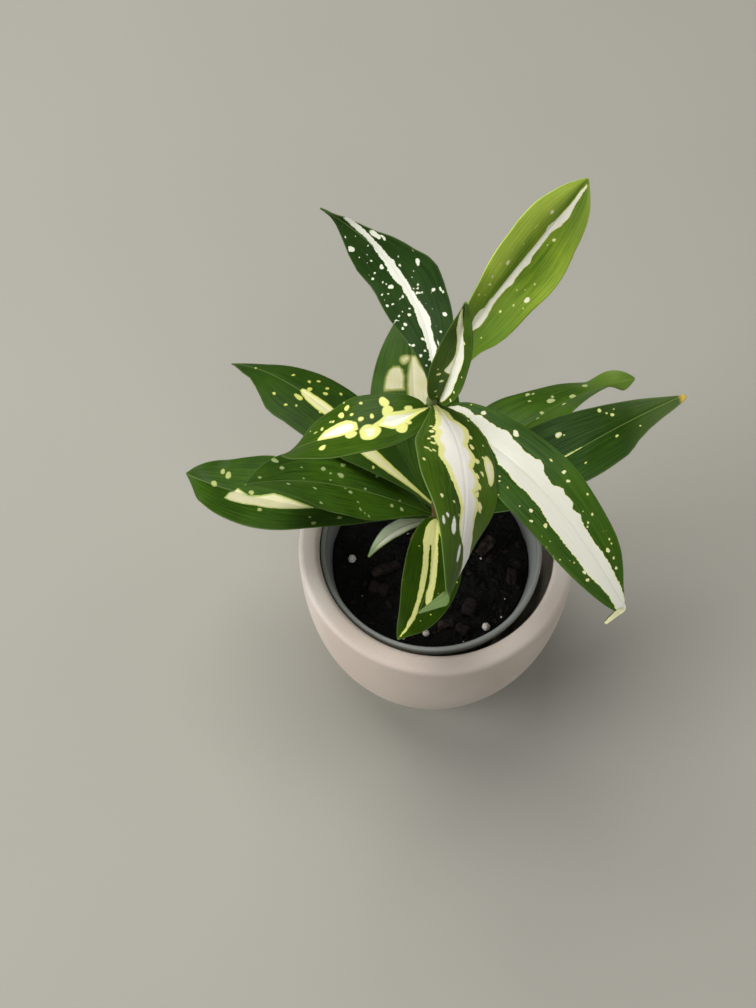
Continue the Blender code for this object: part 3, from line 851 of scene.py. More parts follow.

# Markings on each leaf. s is the share of its length, v the share of its half width,
# + on its left. A band is a list of (s, left v, right v); a spot is (s, v, radius in mm), and a
# fourth number stretches it along the leaf.
leafMarks = {
    "leaf_top_back_left": {
        "bands": [
            [(0, .1, -.1), (.12, .15, -.05), (.15, .17, -.1), (.2, .2, -.26), (.25, .18, -.18),
             (.3, .17, -.2), (.34, .19, -.25), (.37, .16, -.2), (.4, .12, -.16), (.45, .14, -.12),
             (.5, .14, -.1), (.51, .12, -.14), (.55, .18, -.11), (.57, .2, -.15), (.6, .16, -.13),
             (.62, .13, -.2), (.65, .1, -.17), (.7, .06, -.25), (.75, -.02, -.33), (.8, -.1, -.47),
             (.85, -.2, -.75), (.88, -.6, -1.1), (.9, -.9, -1.1)],
        ],
        "spots": [
            (.75, -.56, 1.0, 2.2), (.715, -.65, .5, 3), (.6, -.92, .45, 1.6), (.555, -.77, 1.0),
            (.548, -.72, .7), (.62, -.42, .45), (.587, -.24, .6), (.534, -.47, .55), (.518, -.31, .4),
            (.48, -.34, .5), (.477, -.17, .45), (.468, -.28, .45), (.453, -.17, .5), (.449, -.25, .4),
            (.443, -.33, .5), (.43, -.68, .75), (.425, -.6, .35), (.42, -.88, .6), (.405, -.92, .6),
            (.365, -.42, .3), (.395, -.3, .3), (.325, -.78, .8), (.267, -.52, .55), (.295, -.38, .3),
            (.232, -.35, .35, 3.2), (.787, .83, 1.2), (.88, .35, .35), (.84, .75, .35), (.81, .22, .35),
            (.74, .13, .4), (.717, .38, .45), (.735, .7, .35), (.675, .08, .4), (.685, .4, .55),
            (.69, .55, .25), (.633, .26, .9), (.605, .17, .4), (.633, .55, .45), (.645, .75, .3),
            (.62, .71, .55), (.587, .68, .3), (.578, .51, .45), (.56, .45, .35), (.537, .38, .9),
            (.532, .73, .5), (.517, .56, .5), (.472, .25, .65), (.468, .35, .45), (.464, .61, .6),
            (.472, .79, .6), (.503, .75, .3), (.412, .49, .35), (.41, .25, .4), (.384, .35, .65),
            (.398, .67, .55), (.386, .84, .55), (.378, .92, .55), (.38, .76, .4), (.35, .64, .7),
            (.337, .8, .55), (.262, .27, .5), (.242, .82, .65), (.25, .98, .5), (.207, .36, .5),
            (.187, .72, .65), (.14, .6, .4), (.165, .25, .4),
        ],
    },
    "leaf_top_back_right": {
        "bands": [
            [(0, .3, -.2), (.2, .3, -.1), (.3, .28, -.05), (.33, .25, -.2), (.35, .3, -.2), (.38, .22, -.18),
             (.4, .07, -.15), (.43, .1, -.11), (.45, .04, -.1), (.5, .03, -.12), (.53, .03, -.16),
             (.55, .03, -.13), (.6, .03, -.13), (.63, .03, -.17), (.65, .03, -.11), (.7, .03, -.11),
             (.75, .05, -.1), (.77, .12, -.11), (.79, .08, -.17), (.8, .05, -.21), (.82, .02, -.24),
             (.85, 0, -.3), (.9, -.05, -.25), (.95, -.05, -.35), (.98, -.3, -.6)],
        ],
        "spots": [
            (.815, .35, .9, 1.3), (.812, .53, .45), (.742, .4, .5), (.73, .4, .5), (.715, .58, .35),
            (.715, .8, .4), (.66, .35, .45), (.615, .5, .45), (.573, .38, 1.05), (.549, .57, .5),
            (.498, .55, .6), (.472, .47, .7), (.418, .67, .55), (.434, .4, .45), (.87, .2, .3),
            (.75, -.28, .75), (.72, -.22, .4), (.582, -.56, .5), (.543, -.48, .4), (.523, -.32, .4),
            (.517, -.69, 1.2), (.47, -.53, .5), (.484, -.78, .45), (.422, -.38, .6), (.3, -.5, .4),
        ],
    },
    "leaf_top_young": {
        "bands": [
            [(0, .1, -.6), (.05, 0, -.6), (.1, .02, -.65), (.2, .02, -.7), (.25, .02, -.68), (.28, .03, -.62),
             (.3, .15, -.6), (.33, .33, -.6), (.35, .33, -.6), (.37, .26, -.57), (.4, .18, -.55),
             (.45, .1, -.57), (.5, .08, -.57), (.55, .1, -.54), (.6, .15, -.42), (.65, .2, -.3),
             (.7, .3, -.1), (.75, .43, -.05), (.8, .5, .05), (.85, .62, .15), (.9, .78, .35),
             (.95, 1.0, .55)],
        ],
        "spots": [
            (.305, .53, .9), (.222, .3, .9), (.12, .5, .6), (.25, -.8, .7), (.17, -.95, .9), (.655, -.3, .8),
            (.36, .62, .5), (.42, -.8, .5), (.05, .4, .5),
        ],
    },
    "leaf_top_left": {
        "bands": [
            [(0, .15, -.15), (.05, .14, -.15), (.1, .22, -.2), (.15, .33, -.23), (.2, .42, -.25),
             (.25, .42, -.3), (.28, .28, -.16), (.3, .18, -.1), (.33, .08, -.05), (.36, .1, -.02)],
            [(.44, .0, -.2), (.47, .05, -.3), (.5, .12, -.36), (.55, .14, -.36), (.6, .13, -.31),
             (.65, .1, -.25), (.68, .08, -.12), (.7, .05, -.03)],
        ],
        "spots": [
            (.11, -.25, 1.4), (.155, .38, 1.0), (.205, .5, 2.3, .9), (.24, -.33, 2.1), (.378, .25, 3.8, 1.1),
            (.485, .17, 2.4, .8), (.47, -.2, .8), (.24, -.66, 1.95), (.385, -.75, .7), (.485, -.74, 1.15),
            (.53, -.58, 1.3), (.46, -.48, .7), (.41, -.27, 1.0), (.34, -.27, .9), (.61, -.52, .55),
            (.59, -.48, .6), (.67, -.38, .75), (.72, -.35, .4, 2), (.77, -.6, .35), (.645, .52, 1.3),
            (.5, -.97, .5), (.88, -.9, .8),
        ],
    },
    "leaf_top_front": {
        "bands": [
            [(0, .2, -.35), (.05, .4, -.4), (.1, .3, -.45), (.13, .48, -.5), (.15, .55, -.6), (.17, .5, -.48),
             (.2, .42, -.52), (.23, .3, -.57), (.25, .28, -.55), (.28, .38, -.5), (.3, .4, -.5),
             (.33, .3, -.54), (.35, .27, -.55), (.38, .38, -.46), (.4, .42, -.42), (.43, .38, -.38),
             (.45, .3, -.35), (.48, .45, -.28), (.5, .47, -.25), (.52, .44, -.2), (.55, .42, -.15),
             (.6, .5, -.2), (.62, .6, -.22), (.65, .72, -.15), (.68, .9, .1), (.7, 1.05, .2), (.75, 1.1, .6),
             (.8, 1.1, .95)],
        ],
        "spots": [
            (.485, .5, 1.4), (.71, -.1, 1.4, 1.9), (.63, -.42, 1.4, 2.0), (.605, -.62, .8),
            (.63, -.8, .8, 1.7), (.54, -.68, .8), (.54, -.35, .55), (.58, -.22, .5), (.39, -.88, .7),
            (.31, -.77, .9), (.318, -.62, .85, .8), (.325, -.7, .6), (.23, -.68, .7), (.13, -.62, .6),
            (.268, .65, .65), (.31, .77, 2.7, 2.0), (.345, .52, .9), (.1, .9, .45), (.21, .78, .45),
            (.41, .42, 1.2), (.17, -.6, 1.0), (.215, -.55, 1.1), (.265, -.6, .9), (.19, .45, 1.1),
            (.24, .38, 1.0), (.3, .43, 1.1), (.37, .36, 1.1), (.45, .36, 1.2), (.5, .52, 1.0),
        ],
    },
    "leaf_top_front_right": {
        "bands": [
            [(0, 1.0, .5), (.05, .92, .55), (.1, .62, .36), (.12, .7, .28), (.15, .57, .18), (.2, .55, 0),
             (.22, .6, -.1), (.25, .5, -.22), (.28, .46, -.38), (.3, .42, -.33), (.35, .43, -.4),
             (.36, .5, -.4), (.38, .47, -.4), (.4, .33, -.38), (.45, .28, -.38), (.48, .42, -.4),
             (.5, .36, -.42), (.53, .4, -.47), (.55, .28, -.5), (.58, .36, -.5), (.6, .28, -.5),
             (.65, .25, -.52), (.7, .28, -.52), (.75, .32, -.56), (.8, .35, -.5), (.85, .34, -.52),
             (.88, .34, -.6), (.905, .5, -.9), (.93, 1.2, -1.2)],
            [(.92, 1.9, -1.9), (1.0, 1.9, -1.9)],
        ],
        "spots": [
            (.243, .66, 1.3), (.12, .8, .9), (.07, 1.05, .4), (.385, .68, .65), (.34, .95, .3),
            (.44, .7, .75), (.47, .63, .65), (.54, .84, .5), (.575, .47, .35), (.6, .635, .45, 1.6),
            (.613, .41, .45), (.623, .33, .45), (.664, .65, .3), (.67, .75, .4), (.697, .71, .4),
            (.712, .72, .4), (.722, .5, .85), (.754, .57, .5), (.785, .5, .45, 1.5), (.315, -.6, .45),
            (.327, -.7, .5), (.362, -.65, .5), (.36, -.97, .35), (.437, -.76, .35), (.472, -.62, .8),
            (.5, -.8, .6), (.54, -.59, .95), (.562, -.87, .35), (.59, -.78, .35), (.597, -.95, .45),
            (.635, -.98, .4), (.655, -.9, .5), (.677, -.7, .4), (.69, -.64, .4), (.735, -.58, .8),
            (.76, -.7, .65),
        ],
    },
    "leaf_low_back_left": {
        "bands": [
            [(0, .4, -.4), (.1, .46, -.2), (.2, .5, -.1), (.3, .48, -.08), (.4, .38, -.08), (.48, .25, .05)],
            [(.5, .15, -.16), (.55, .18, -.17), (.6, .15, -.15), (.63, .08, -.15), (.648, 0, -.1)],
        ],
        "spots": [
            (.63, .2, 1.25, 1.6), (.625, -.22, 1.15), (.652, -.48, .8), (.63, -.68, .8), (.583, -.6, .85),
            (.57, -.4, 1.0), (.53, -.7, .75), (.72, -.45, .7), (.87, 0, .6), (.712, .55, .75), (.643, .6, .7),
            (.61, .44, .6), (.53, .17, .7), (.35, -.4, .7), (.25, .7, .6),
        ],
    },
    "leaf_low_far_left": {
        "bands": [
            [(.44, .03, -.02), (.45, .06, -.03), (.5, .18, -.09), (.55, .26, -.14), (.6, .31, -.17),
             (.65, .32, -.06), (.7, .38, 0), (.75, .4, -.1), (.775, .38, .1)],
        ],
        "spots": [
            (.63, -.92, 1.4), (.6, -.76, 1.0), (.66, -.73, .8), (.68, -.44, .9), (.69, -.07, 1.1),
            (.557, -.41, .85), (.81, -.38, 1.5), (.84, -.48, 1.1), (.855, -.03, 1.4), (.45, -.56, .75),
            (.5, -.68, .6), (.405, -.18, .8), (.625, .42, 1.0), (.335, .5, 1.1), (.42, .8, 1.1),
            (.44, .5, .7),
        ],
    },
    "leaf_low_left": {
        "bands": [],
        "spots": [
            (.768, -.87, 1.35), (.757, -.5, 1.0), (.557, -.38, 1.0), (.525, -.28, .6), (.46, -.56, .95),
            (.475, -.27, 1.0, 1.5), (.437, .17, 1.0), (.457, .06, .5), (.393, -.79, .9), (.41, -.95, .55),
            (.46, -.8, .5), (.347, -.66, .5), (.315, -.64, .5), (.294, -.6, .7), (.262, -.92, .6),
            (.66, -.42, .5), (.67, -.08, .5), (.53, -.1, .5), (.775, .22, .8), (.895, -.4, .8),
            (.638, .27, .8), (.645, .8, .8), (.405, .7, .8), (.38, .8, .6), (.355, .87, .6), (.41, .47, .6),
            (.213, .36, .9), (.158, .48, 1.0), (.165, -.05, .5), (.35, -.07, .6),
        ],
    },
    "leaf_low_front": {
        "bands": [
            [(0, .2, -.4), (.05, .15, -.55), (.1, .15, -.62), (.15, .13, -.58), (.2, .12, -.55),
             (.22, .12, -.52)],
            [(.2, -.2, -.55), (.3, -.2, -.43), (.4, -.15, -.37), (.5, -.12, -.35), (.6, -.1, -.31),
             (.7, -.09, -.27), (.75, -.03, -.27), (.8, .03, -.22), (.85, .03, -.25), (.9, .05, -.2),
             (.95, .1, -.2), (.98, .2, -.2)],
            [(.2, .12, -.15), (.3, .15, -.1), (.4, .18, -.05), (.5, .22, 0), (.6, .27, 0), (.65, .32, .07),
             (.68, .3, .15)],
            [(.05, .25, .05), (.1, .35, .15), (.15, .38, .22), (.21, .38, .32)],
        ],
        "spots": [
            (.27, -.63, .45), (.46, .9, .5), (.58, -.95, .4), (.73, .55, .4), (.8, .35, .35), (.57, .42, .35),
        ],
    },
    "leaf_low_pale_young": {
        "bands": [[(.05, .6, 0), (.2, .75, 0), (.5, .75, -.02), (.7, .7, 0), (.85, .4, .1)]],
        "spots": [],
    },
    "leaf_low_right": {
        # painted highlight: the thin band along the midrib
        "bands": [[(.3, .015, -.015), (.5, .02, -.025), (.55, .025, -.025), (.605, .012, -.012)]],
        "spots": [
            (.55, .53, 1.35), (.568, .47, .5), (.717, .78, .8), (.735, .62, .5), (.75, .5, .75),
            (.763, .7, .4), (.735, -.3, .7), (.822, -.5, .45), (.603, -.52, .6), (.35, -.4, .8), (.3, .5, .6),
            (.45, -.65, .5),
        ],
    },
    "leaf_low_back_right": {
        "bands": [],
        "spots": [
            (.797, .5, 1.4), (.715, .05, 1.45), (.632, .27, 1.6), (.65, .4, .8), (.655, -.25, 1.1),
            (.57, .03, .9), (.54, -.1, .7), (.58, .9, 1.1), (.6, .85, .7), (.565, .6, .7), (.4, .4, .9),
            (.3, -.4, .8),
        ],
    },
    "leaf_low_back": {
        "bands": [
            [(.36, .05, -.1), (.39, .2, -.12), (.44, .18, -.2), (.5, .13, -.37), (.55, .13, -.37),
             (.6, .12, -.37), (.65, .08, -.2), (.69, .03, -.12)],
            [(.54, .68, .2), (.56, .68, .21), (.6, .66, .2), (.63, .6, .25), (.645, .5, .35)],
        ],
        "spots": [(.675, .2, 2.0), (.75, -.3, .8), (.45, .6, .8), (.4, -.6, .7)],
    },
}

# How a leaf is coloured, and after that what each leaf does its own way.
leafLook = {
    "deep": tint(32, 58, 4),  # the green's darker streaks
    "fresh": tint(56, 88, 10),  # and its lighter ones
    "paintedSheen": tint(62, 92, 50),  # painted sheen, in patches on them
    "paintedSheenShare": 0.2,
    "litAndPaleGreen": tint(150, 178, 54),  # brighter green: on either half painted light, shone through the leaf and reflected as sheen; at the end the leaf's own paler tip
    "paintedLightLeft": 0.0,
    "paintedLightRight": 0.0,
    "paleTipShare": 0.0,
    "dimBase": 0.0,  # how far the base turns to the deep green
    "dry": tint(186, 156, 66),  # the very tip, where it has dried
    "dryTip": 0.0,
    "margin": tint(128, 150, 84),  # along the edge and the midrib
    "marginShare": 0.22,
    "white": tint(236, 236, 222),  # the markings' core
    "cream": tint(224, 222, 128),  # and their fringe
    "yellow": 0.25,  # how far the core turns to cream
    "fringe": 0.35,  # width in mm
    "fringeLoss": 0.0,  # mm of it lost towards the tip
    "ragged": 0.4,  # how ragged the markings' edges are
    "soft": 0.0,  # how far they blur, in mm
    "spotDim": 0.0,  # mm more of fringe on spots than on bands
    "rib": tint(120, 132, 116),  # fine lines and specks on the markings, and the midrib there
    "ribShare": 0.15,
    "tail": tint(255, 252, 200),  # markings on a thin tail, made brighter as painted light shining through it
    "tailShare": 0.0,
    "under": tint(112, 138, 84),  # the back, and the markings there
    "underWhite": tint(238, 238, 222),
    "through": 0.0,  # light scattered inside the leaf
}
leafOwnLook = {
    "leaf_top_back_left": {
        "deep": tint(22, 46, 8), "fresh": tint(38, 66, 12), "yellow": 0.06, "fringe": 0.12, "ragged": 1.1,
        "paintedSheenShare": 0.1, "cream": tint(224, 230, 200),
    },
    # painted light: its greens and white are raised, and its left half glows, for light shining through the
    # thin leaf; its patches of sheen are painted too
    "leaf_top_back_right": {
        "deep": tint(78, 112, 24), "fresh": tint(136, 164, 34), "paintedSheen": tint(118, 148, 76), "yellow": 0.1,
        "fringe": 0.2, "paintedSheenShare": 0.5, "margin": tint(160, 184, 66), "litAndPaleGreen": tint(206, 230, 92),
        "paintedLightLeft": 1.0, "paintedLightRight": 0.35, "dimBase": 0.7, "through": 0.15, "white": tint(255, 255, 236),
        "ragged": 0.5, "ribShare": 0.0,
    },
    "leaf_top_young": {
        "deep": tint(40, 68, 6), "fresh": tint(72, 104, 16), "yellow": 0.08, "fringe": 0.5, "paintedSheenShare": 0.1,
        "white": tint(255, 254, 240), "cream": tint(238, 234, 160), "ribShare": 0.0,
    },
    "leaf_top_left": {
        "deep": tint(34, 60, 2), "fresh": tint(60, 90, 6), "fringe": 1.9, "yellow": 0.2,
        "cream": tint(228, 230, 136), "paintedSheenShare": 0.0, "soft": 0.2,
    },
    # painted sheen: its glow on both halves and its wider pale margin
    "leaf_top_front": {
        "deep": tint(40, 66, 6), "fresh": tint(70, 100, 12), "fringe": 3.0, "yellow": 0.06, "fringeLoss": 2.4,
        "ribShare": 0.2, "rib": tint(158, 164, 148), "under": tint(106, 126, 78), "ragged": 1.2,
        "paintedSheen": tint(80, 112, 40), "paintedSheenShare": 0.25, "cream": tint(236, 234, 150), "spotDim": -1.3,
        "litAndPaleGreen": tint(92, 126, 12), "paintedLightLeft": 0.4, "paintedLightRight": 0.4, "margin": tint(132, 156, 100),
        "marginShare": 0.35, "soft": 0.15, "white": tint(248, 244, 236),
    },
    # painted light: its glow on both halves; its tail and its back are made brighter for light shining
    # through the thin tail
    "leaf_top_front_right": {
        "deep": tint(30, 58, 2), "fresh": tint(54, 90, 6), "fringe": 0.15, "yellow": 0.02,
        "paintedSheen": tint(66, 94, 56), "paintedSheenShare": 0.35, "litAndPaleGreen": tint(74, 108, 6), "paintedLightLeft": 0.3,
        "paintedLightRight": 0.3, "ribShare": 0.2, "rib": tint(158, 164, 148), "ragged": 1.2,
        "white": tint(228, 228, 214), "under": tint(150, 164, 104), "underWhite": tint(255, 253, 214),
        "tailShare": 1.0,
    },
    "leaf_low_back_left": {
        "deep": tint(28, 54, 4), "fresh": tint(50, 80, 8), "paintedSheenShare": 0.1, "yellow": 0.4, "fringe": 0.7,
        "white": tint(234, 230, 176), "cream": tint(204, 208, 104), "spotDim": 0.3, "soft": 0.15,
    },
    "leaf_low_far_left": {
        "yellow": 0.4, "fringe": 0.8, "white": tint(222, 216, 178), "cream": tint(168, 178, 104),
        "spotDim": 1.0, "soft": 0.2,
    },
    "leaf_low_left": {
        "yellow": 0.4, "fringe": 0.9, "cream": tint(160, 178, 116), "spotDim": 1.0, "soft": 0.2,
        "fresh": tint(62, 96, 14),
    },
    "leaf_low_front": {
        "yellow": 0.2, "fringe": 0.25, "deep": tint(32, 58, 0), "fresh": tint(54, 84, 2),
        "white": tint(255, 255, 172), "cream": tint(236, 240, 100), "paintedSheenShare": 0.0, "ragged": 0.7,
    },
    "leaf_low_pale_young": {
        "deep": tint(190, 206, 166), "fresh": tint(234, 238, 220), "yellow": 0.05,
        "white": tint(246, 246, 236), "paintedSheen": tint(200, 208, 196), "margin": tint(110, 138, 74),
        "marginShare": 0.9, "litAndPaleGreen": tint(104, 134, 72), "paleTipShare": 0.8,
    },
    "leaf_low_right": {
        "deep": tint(24, 48, 2), "fresh": tint(42, 72, 4), "yellow": 0.4, "fringe": 0.4,
        "cream": tint(200, 208, 116), "paintedSheen": tint(72, 102, 62), "paintedSheenShare": 0.4,
        "litAndPaleGreen": tint(132, 144, 44), "paleTipShare": 0.12, "dryTip": 1.0,
    },
    "leaf_low_back_right": {
        "yellow": 0.5, "fringe": 1.2, "cream": tint(172, 186, 120), "soft": 0.15, "deep": tint(38, 66, 8),
        "fresh": tint(66, 98, 16), "litAndPaleGreen": tint(118, 148, 58), "paleTipShare": 0.6,
    },
    "leaf_low_back": {
        "yellow": 0.5, "fringe": 0.9, "deep": tint(36, 62, 4), "white": tint(214, 208, 176),
        "cream": tint(176, 178, 104), "soft": 0.8,
    },
}


def halfWidth(leaf, s):  # mm, for an array of shares of the length
    end = 1 - leaf["tail"]
    u = np.clip(s / end, 0, 1)
    widest, taper = leaf["widest"], leaf["taper"]
    swell = (u / widest) ** (taper * widest / (1 - widest))
    blade = leaf["width"] / 2 * swell * ((1 - u) / (1 - widest)) ** taper
    tail = leafBlade["tailHalfWidth"] * np.clip((1 - s) / leaf["tail"], 0, 1) if leaf["tail"] else 0
    stalk = leafBlade["stalkHalfWidth"] * (1 - np.clip(s, 0, 1)) ** 8
    return blade + leafBlade["tipHalfWidth"] + tail + stalk


def midribCourse(leaf, shares):  # place, left and up at each share, walked in small steps
    steps = 1600
    fine = np.linspace(0, 1, steps + 1)
    tip = eased((fine - leaf["tipFrom"]) / leaf["tipOver"])
    bow = leaf["bow"] * 4 * fine * (1 - fine)
    heading = np.radians(leaf["azimuth"] + leaf["turn"] * fine + bow + leaf["hook"] * tip)
    pitch = np.radians(leaf["rise"] - leaf["droop"] * fine ** 1.5)
    roll = np.radians(leaf["roll"] + leaf["twist"] * fine + leaf["curl"] * tip)
    level = np.cos(pitch)
    along = np.stack([level * np.cos(heading), level * np.sin(heading), np.sin(pitch)], 1)
    side = np.stack([-np.sin(heading), np.cos(heading), 0 * heading], 1)
    up = np.cross(along, side)
    top = cane["course"][-1][0]
    centre = caneCentre(min(leaf["z"], top))
    reach = leafBlade["apexReach"] if leaf["z"] > top else caneRadius(leaf["z"]) + leafBlade["baseGap"]
    start = np.array([centre[0] + reach * math.cos(heading[0]), centre[1] + reach * math.sin(heading[0]),
                      leaf["z"]])
    walk = np.vstack([np.zeros(3), np.cumsum(along[:-1] * leaf["length"] / steps, 0)]) + start
    left = side * np.cos(roll)[:, None] + up * np.sin(roll)[:, None]
    rise = up * np.cos(roll)[:, None] - side * np.sin(roll)[:, None]
    found = []
    for values in (walk, left, rise):
        found.append(np.stack([np.interp(shares, fine, values[:, i]) for i in range(3)], 1))
    before = np.minimum(shares, 0)[:, None] * leaf["length"]
    found[0] = found[0] + along[0] * before
    return found


def plainWidth(leaf, s, side):  # half width in mm on the left (side > 0) or right
    return halfWidth(leaf, s) * (1 + leaf["skew"] * np.sign(side) * (2 * np.clip(s, 0, 1) - 1))


def markFields(leaf, marks, s, aside, plain):
    # how deep each point lies inside the bands and inside the spots, in mm; below 0 is outside
    length = leaf["length"]
    bands = np.full(len(s), -9.0)
    for stations in marks["bands"]:
        at, left, right = np.array(stations, float).T
        l, r = np.interp(s, at, left), np.interp(s, at, right)
        inside = np.minimum(l * plain - aside, aside - r * plain)
        ends = np.minimum(s - at[0] if at[0] > 0 else 9.0, at[-1] - s if at[-1] < 1 else 9.0) * length
        bands = np.maximum(bands, np.minimum(inside, ends))
    spots = np.full(len(s), -9.0)
    for mark in marks["spots"]:
        at, share, radius = mark[:3]
        stretch = mark[3] if len(mark) > 3 else 1.0
        dx = (s - at) * length / stretch
        dy = aside - share * plainWidth(leaf, np.array([at]), share)[0]
        turn, phase = np.arctan2(dy, dx), 40 * at + 9 * share
        reach = radius * (1 + 0.13 * np.sin(2 * turn + phase) + 0.07 * np.sin(3 * turn + 1.7 * phase))
        spots = np.maximum(spots, (reach ** 2 - dx ** 2 - dy ** 2) / (2 * reach))
    return bands, spots


def leafSkin(name, look, span, seed):
    paint = Paint(name + " skin", Specular_IOR_Level=0.13, Subsurface_Weight=look["through"],
                  Subsurface_Radius=(0.5, 1.0, 0.2), Subsurface_Scale=0.0012)
    where = paint.place()
    s, v = paint.chart()
    streaks = paint.cloud(paint.lines(s * 5, v * 26, seed), 1.0, 3, 0.6)
    fine = paint.cloud(paint.lines(s * 9, v * 80, seed), 1.0, 2, 0.5)
    broad = paint.cloud(where, 45, 3)
    jagged = paint.cloud(where, 1300, 3, 0.6) - 0.5
    jaggedWide = paint.cloud(where, 420, 2) - 0.5
    rough = (jagged * 0.8 + jaggedWide) * look["ragged"]
    band = paint.held("band") + rough
    spot = paint.held("spots") + rough * 0.7
    edge = paint.held("edge")
    aside = paint.held("aside")

    green = paint.mix(paint.ease(streaks * 0.6 + broad * 0.4, 0.36, 0.64), look["deep"], look["fresh"])
    green = paint.mix(paint.ease(fine, 0.5, 0.75) * 0.25, green, look["fresh"])
    # painted sheen, in soft patches along the streaks
    paintedSheen = paint.ease(paint.cloud(where, 26, 2), 0.42, 0.62) * paint.ease(streaks, 0.3, 0.65)
    green = paint.mix(paintedSheen * look["paintedSheenShare"], green, look["paintedSheen"])
    # painted light on either half, from light shining through the leaf and from sheen; at the end the leaf's
    # own paler green
    lit = paint.ease(v, 0.05, 0.7) * look["paintedLightLeft"] + paint.ease(v, -0.3, -0.98) * look["paintedLightRight"]
    lit = lit * paint.ease(s, 0.28, 0.55) + paint.ease(s, 0.72, 0.95) * look["paleTipShare"]
    green = paint.mix(lit * (broad * 0.6 + streaks * 1.1), green, look["litAndPaleGreen"])
    green = paint.mix(paint.ease(s, 0.62, 0.2) * look["dimBase"], green, look["deep"])
    green = paint.mix(paint.ease(edge, 0.55, 0.1) * look["marginShare"], green, look["margin"])
    ribLine = paint.ease(aside, 0.34, 0.1)
    green = paint.mix(ribLine * 0.35, green, look["margin"])
    green = paint.mix(paint.ease(s, 0.97, 0.99) * look["dryTip"], green, look["dry"])

    fringe = look["fringe"] - paint.ease(s, 0.45, 0.7) * look["fringeLoss"]
    inside = paint.maths("MAXIMUM", band, spot)
    marked = paint.ease(inside, -0.08 - look["soft"], 0.1 + look["soft"])
    deepIn = paint.maths("MAXIMUM", band, spot - look["spotDim"])
    core = paint.ease(deepIn, fringe * 0.5, fringe + 0.15)
    uneven = paint.ease(paint.cloud(where, 160, 3), 0.4, 0.7) * 0.5 + look["yellow"] * 0.5
    pale = paint.mix(uneven, look["white"], look["cream"])
    pale = paint.mix(look["yellow"], look["white"], pale)
    mark = paint.mix(core, look["cream"], pale)
    mark = paint.mix(paint.ease(fine, 0.42, 0.62) * 0.12, mark, look["rib"])
    mark = paint.mix(ribLine * look["ribShare"], mark, look["rib"])
    specks = paint.ease(paint.cells(where, 220), 0.05, 0.03)
    mark = paint.mix(specks * 0.6, mark, look["rib"])
    mark = paint.mix(paint.ease(s, 0.9, 0.93) * look["tailShare"], mark, look["tail"])
    colour = paint.mix(marked, green, mark)

    veins = paint.maths("SINE", v * span * 2.2) * 0.12
    height = veins + fine * 0.6 + streaks * 0.4 + paint.cloud(where, 1800, 2) * 0.2 + marked * 0.25
    glossy = 0.38 + streaks * 0.16 + marked * 0.08
    return paint.finish(colour, glossy, height, 0.16, 0.0003)


def leafUnderside(name, look):
    paint = Paint(name + " underside", Specular_IOR_Level=0.2)
    where = paint.place()
    s, v = paint.chart()
    streaks = paint.cloud(paint.lines(s * 6, v * 40), 1.0, 3, 0.6)
    rough = (paint.cloud(where, 900, 3, 0.6) - 0.5) * 0.8
    inside = paint.maths("MAXIMUM", paint.held("band"), paint.held("spots")) + rough
    green = paint.mix(paint.ease(streaks, 0.35, 0.65), look["deep"], look["fresh"])
    green = paint.mix(0.62, green, look["under"])
    faded = paint.ease(s, 0.8, 0.92) * 0.25 + 0.7
    colour = paint.mix(paint.ease(inside, -0.2, 0.4) * faded, green, look["underWhite"])
    ridge = paint.ease(paint.held("aside"), 0.9, 0.3) * paint.ease(s, 0.9, 0.8)
    colour = paint.mix(ridge * 0.35, colour, look["margin"])
    return paint.finish(colour, 0.55 + streaks * 0.12, streaks, 0.25, 0.0004)


def bladePoints(leaf, seed, s, v, wide, wrap):  # in mm, for each point of the flat blade
    place, left, up = midribCourse(leaf, s)
    share = np.clip(s, 0, 1)
    kept = 1 - (1 - leafBlade["foldKept"]) * share
    fold = np.radians(leaf["fold"] * kept + leafBlade["sheathFold"] * wrap)
    out = wide * v * np.cos(fold)
    lift = wide * np.abs(v) * np.sin(fold) - leafBlade["edgeDroop"] * wide * v * v
    phase = np.where(v > 0, seed % 7, seed % 5 + 2)
    wave = np.sin(2 * math.pi * leaf["waves"] * share + phase)
    lift += leafBlade["wave"] * wide * v * v * wave * 4 * share * (1 - share)
    groove = np.exp(-((wide * v / leafBlade["midribWidth"]) ** 2))
    lift -= leafBlade["midribDepth"] * groove * eased((1 - s) / 0.15)
    lift += leafBlade["lift"]
    return place + left * out[:, None] + up * lift[:, None]


def layChart(mesh, s, v):  # the leaf's UV map
    corners = np.empty(len(mesh.loops), np.int32)
    mesh.loops.foreach_get("vertex_index", corners)
    chart = np.stack([np.clip(s, 0, 1), (v + 1) / 2], 1)[corners]
    layer = mesh.uv_layers.active or mesh.uv_layers.new(name="leaf")
    layer.name = "leaf"
    layer.data.foreach_set("uv", chart.astype(np.float32).ravel())


def thicken(piece, v, wide):  # thickest along the midrib, thinnest at the edge
    thickness = 0.3 + 0.7 * np.exp(-((wide * v / leafBlade["ribSpread"]) ** 2))
    thickness *= 0.55 + 0.45 * eased((1 - np.abs(v)) * wide / leafBlade["thinEdge"])
    group = piece.vertex_groups.new(name="thickness")
    steps = leafBlade["thicknessSteps"]
    levels = np.rint(thickness * steps).astype(int)
    for level in np.unique(levels):
        group.add(np.nonzero(levels == level)[0].tolist(), level / steps, "REPLACE")
    solid = piece.modifiers.new("thickness", "SOLIDIFY")
    solid.thickness = leafBlade["thick"] * mm
    solid.offset = -1
    solid.vertex_group = "thickness"
    solid.thickness_vertex_group = leafBlade["thin"]
    solid.material_offset = 1


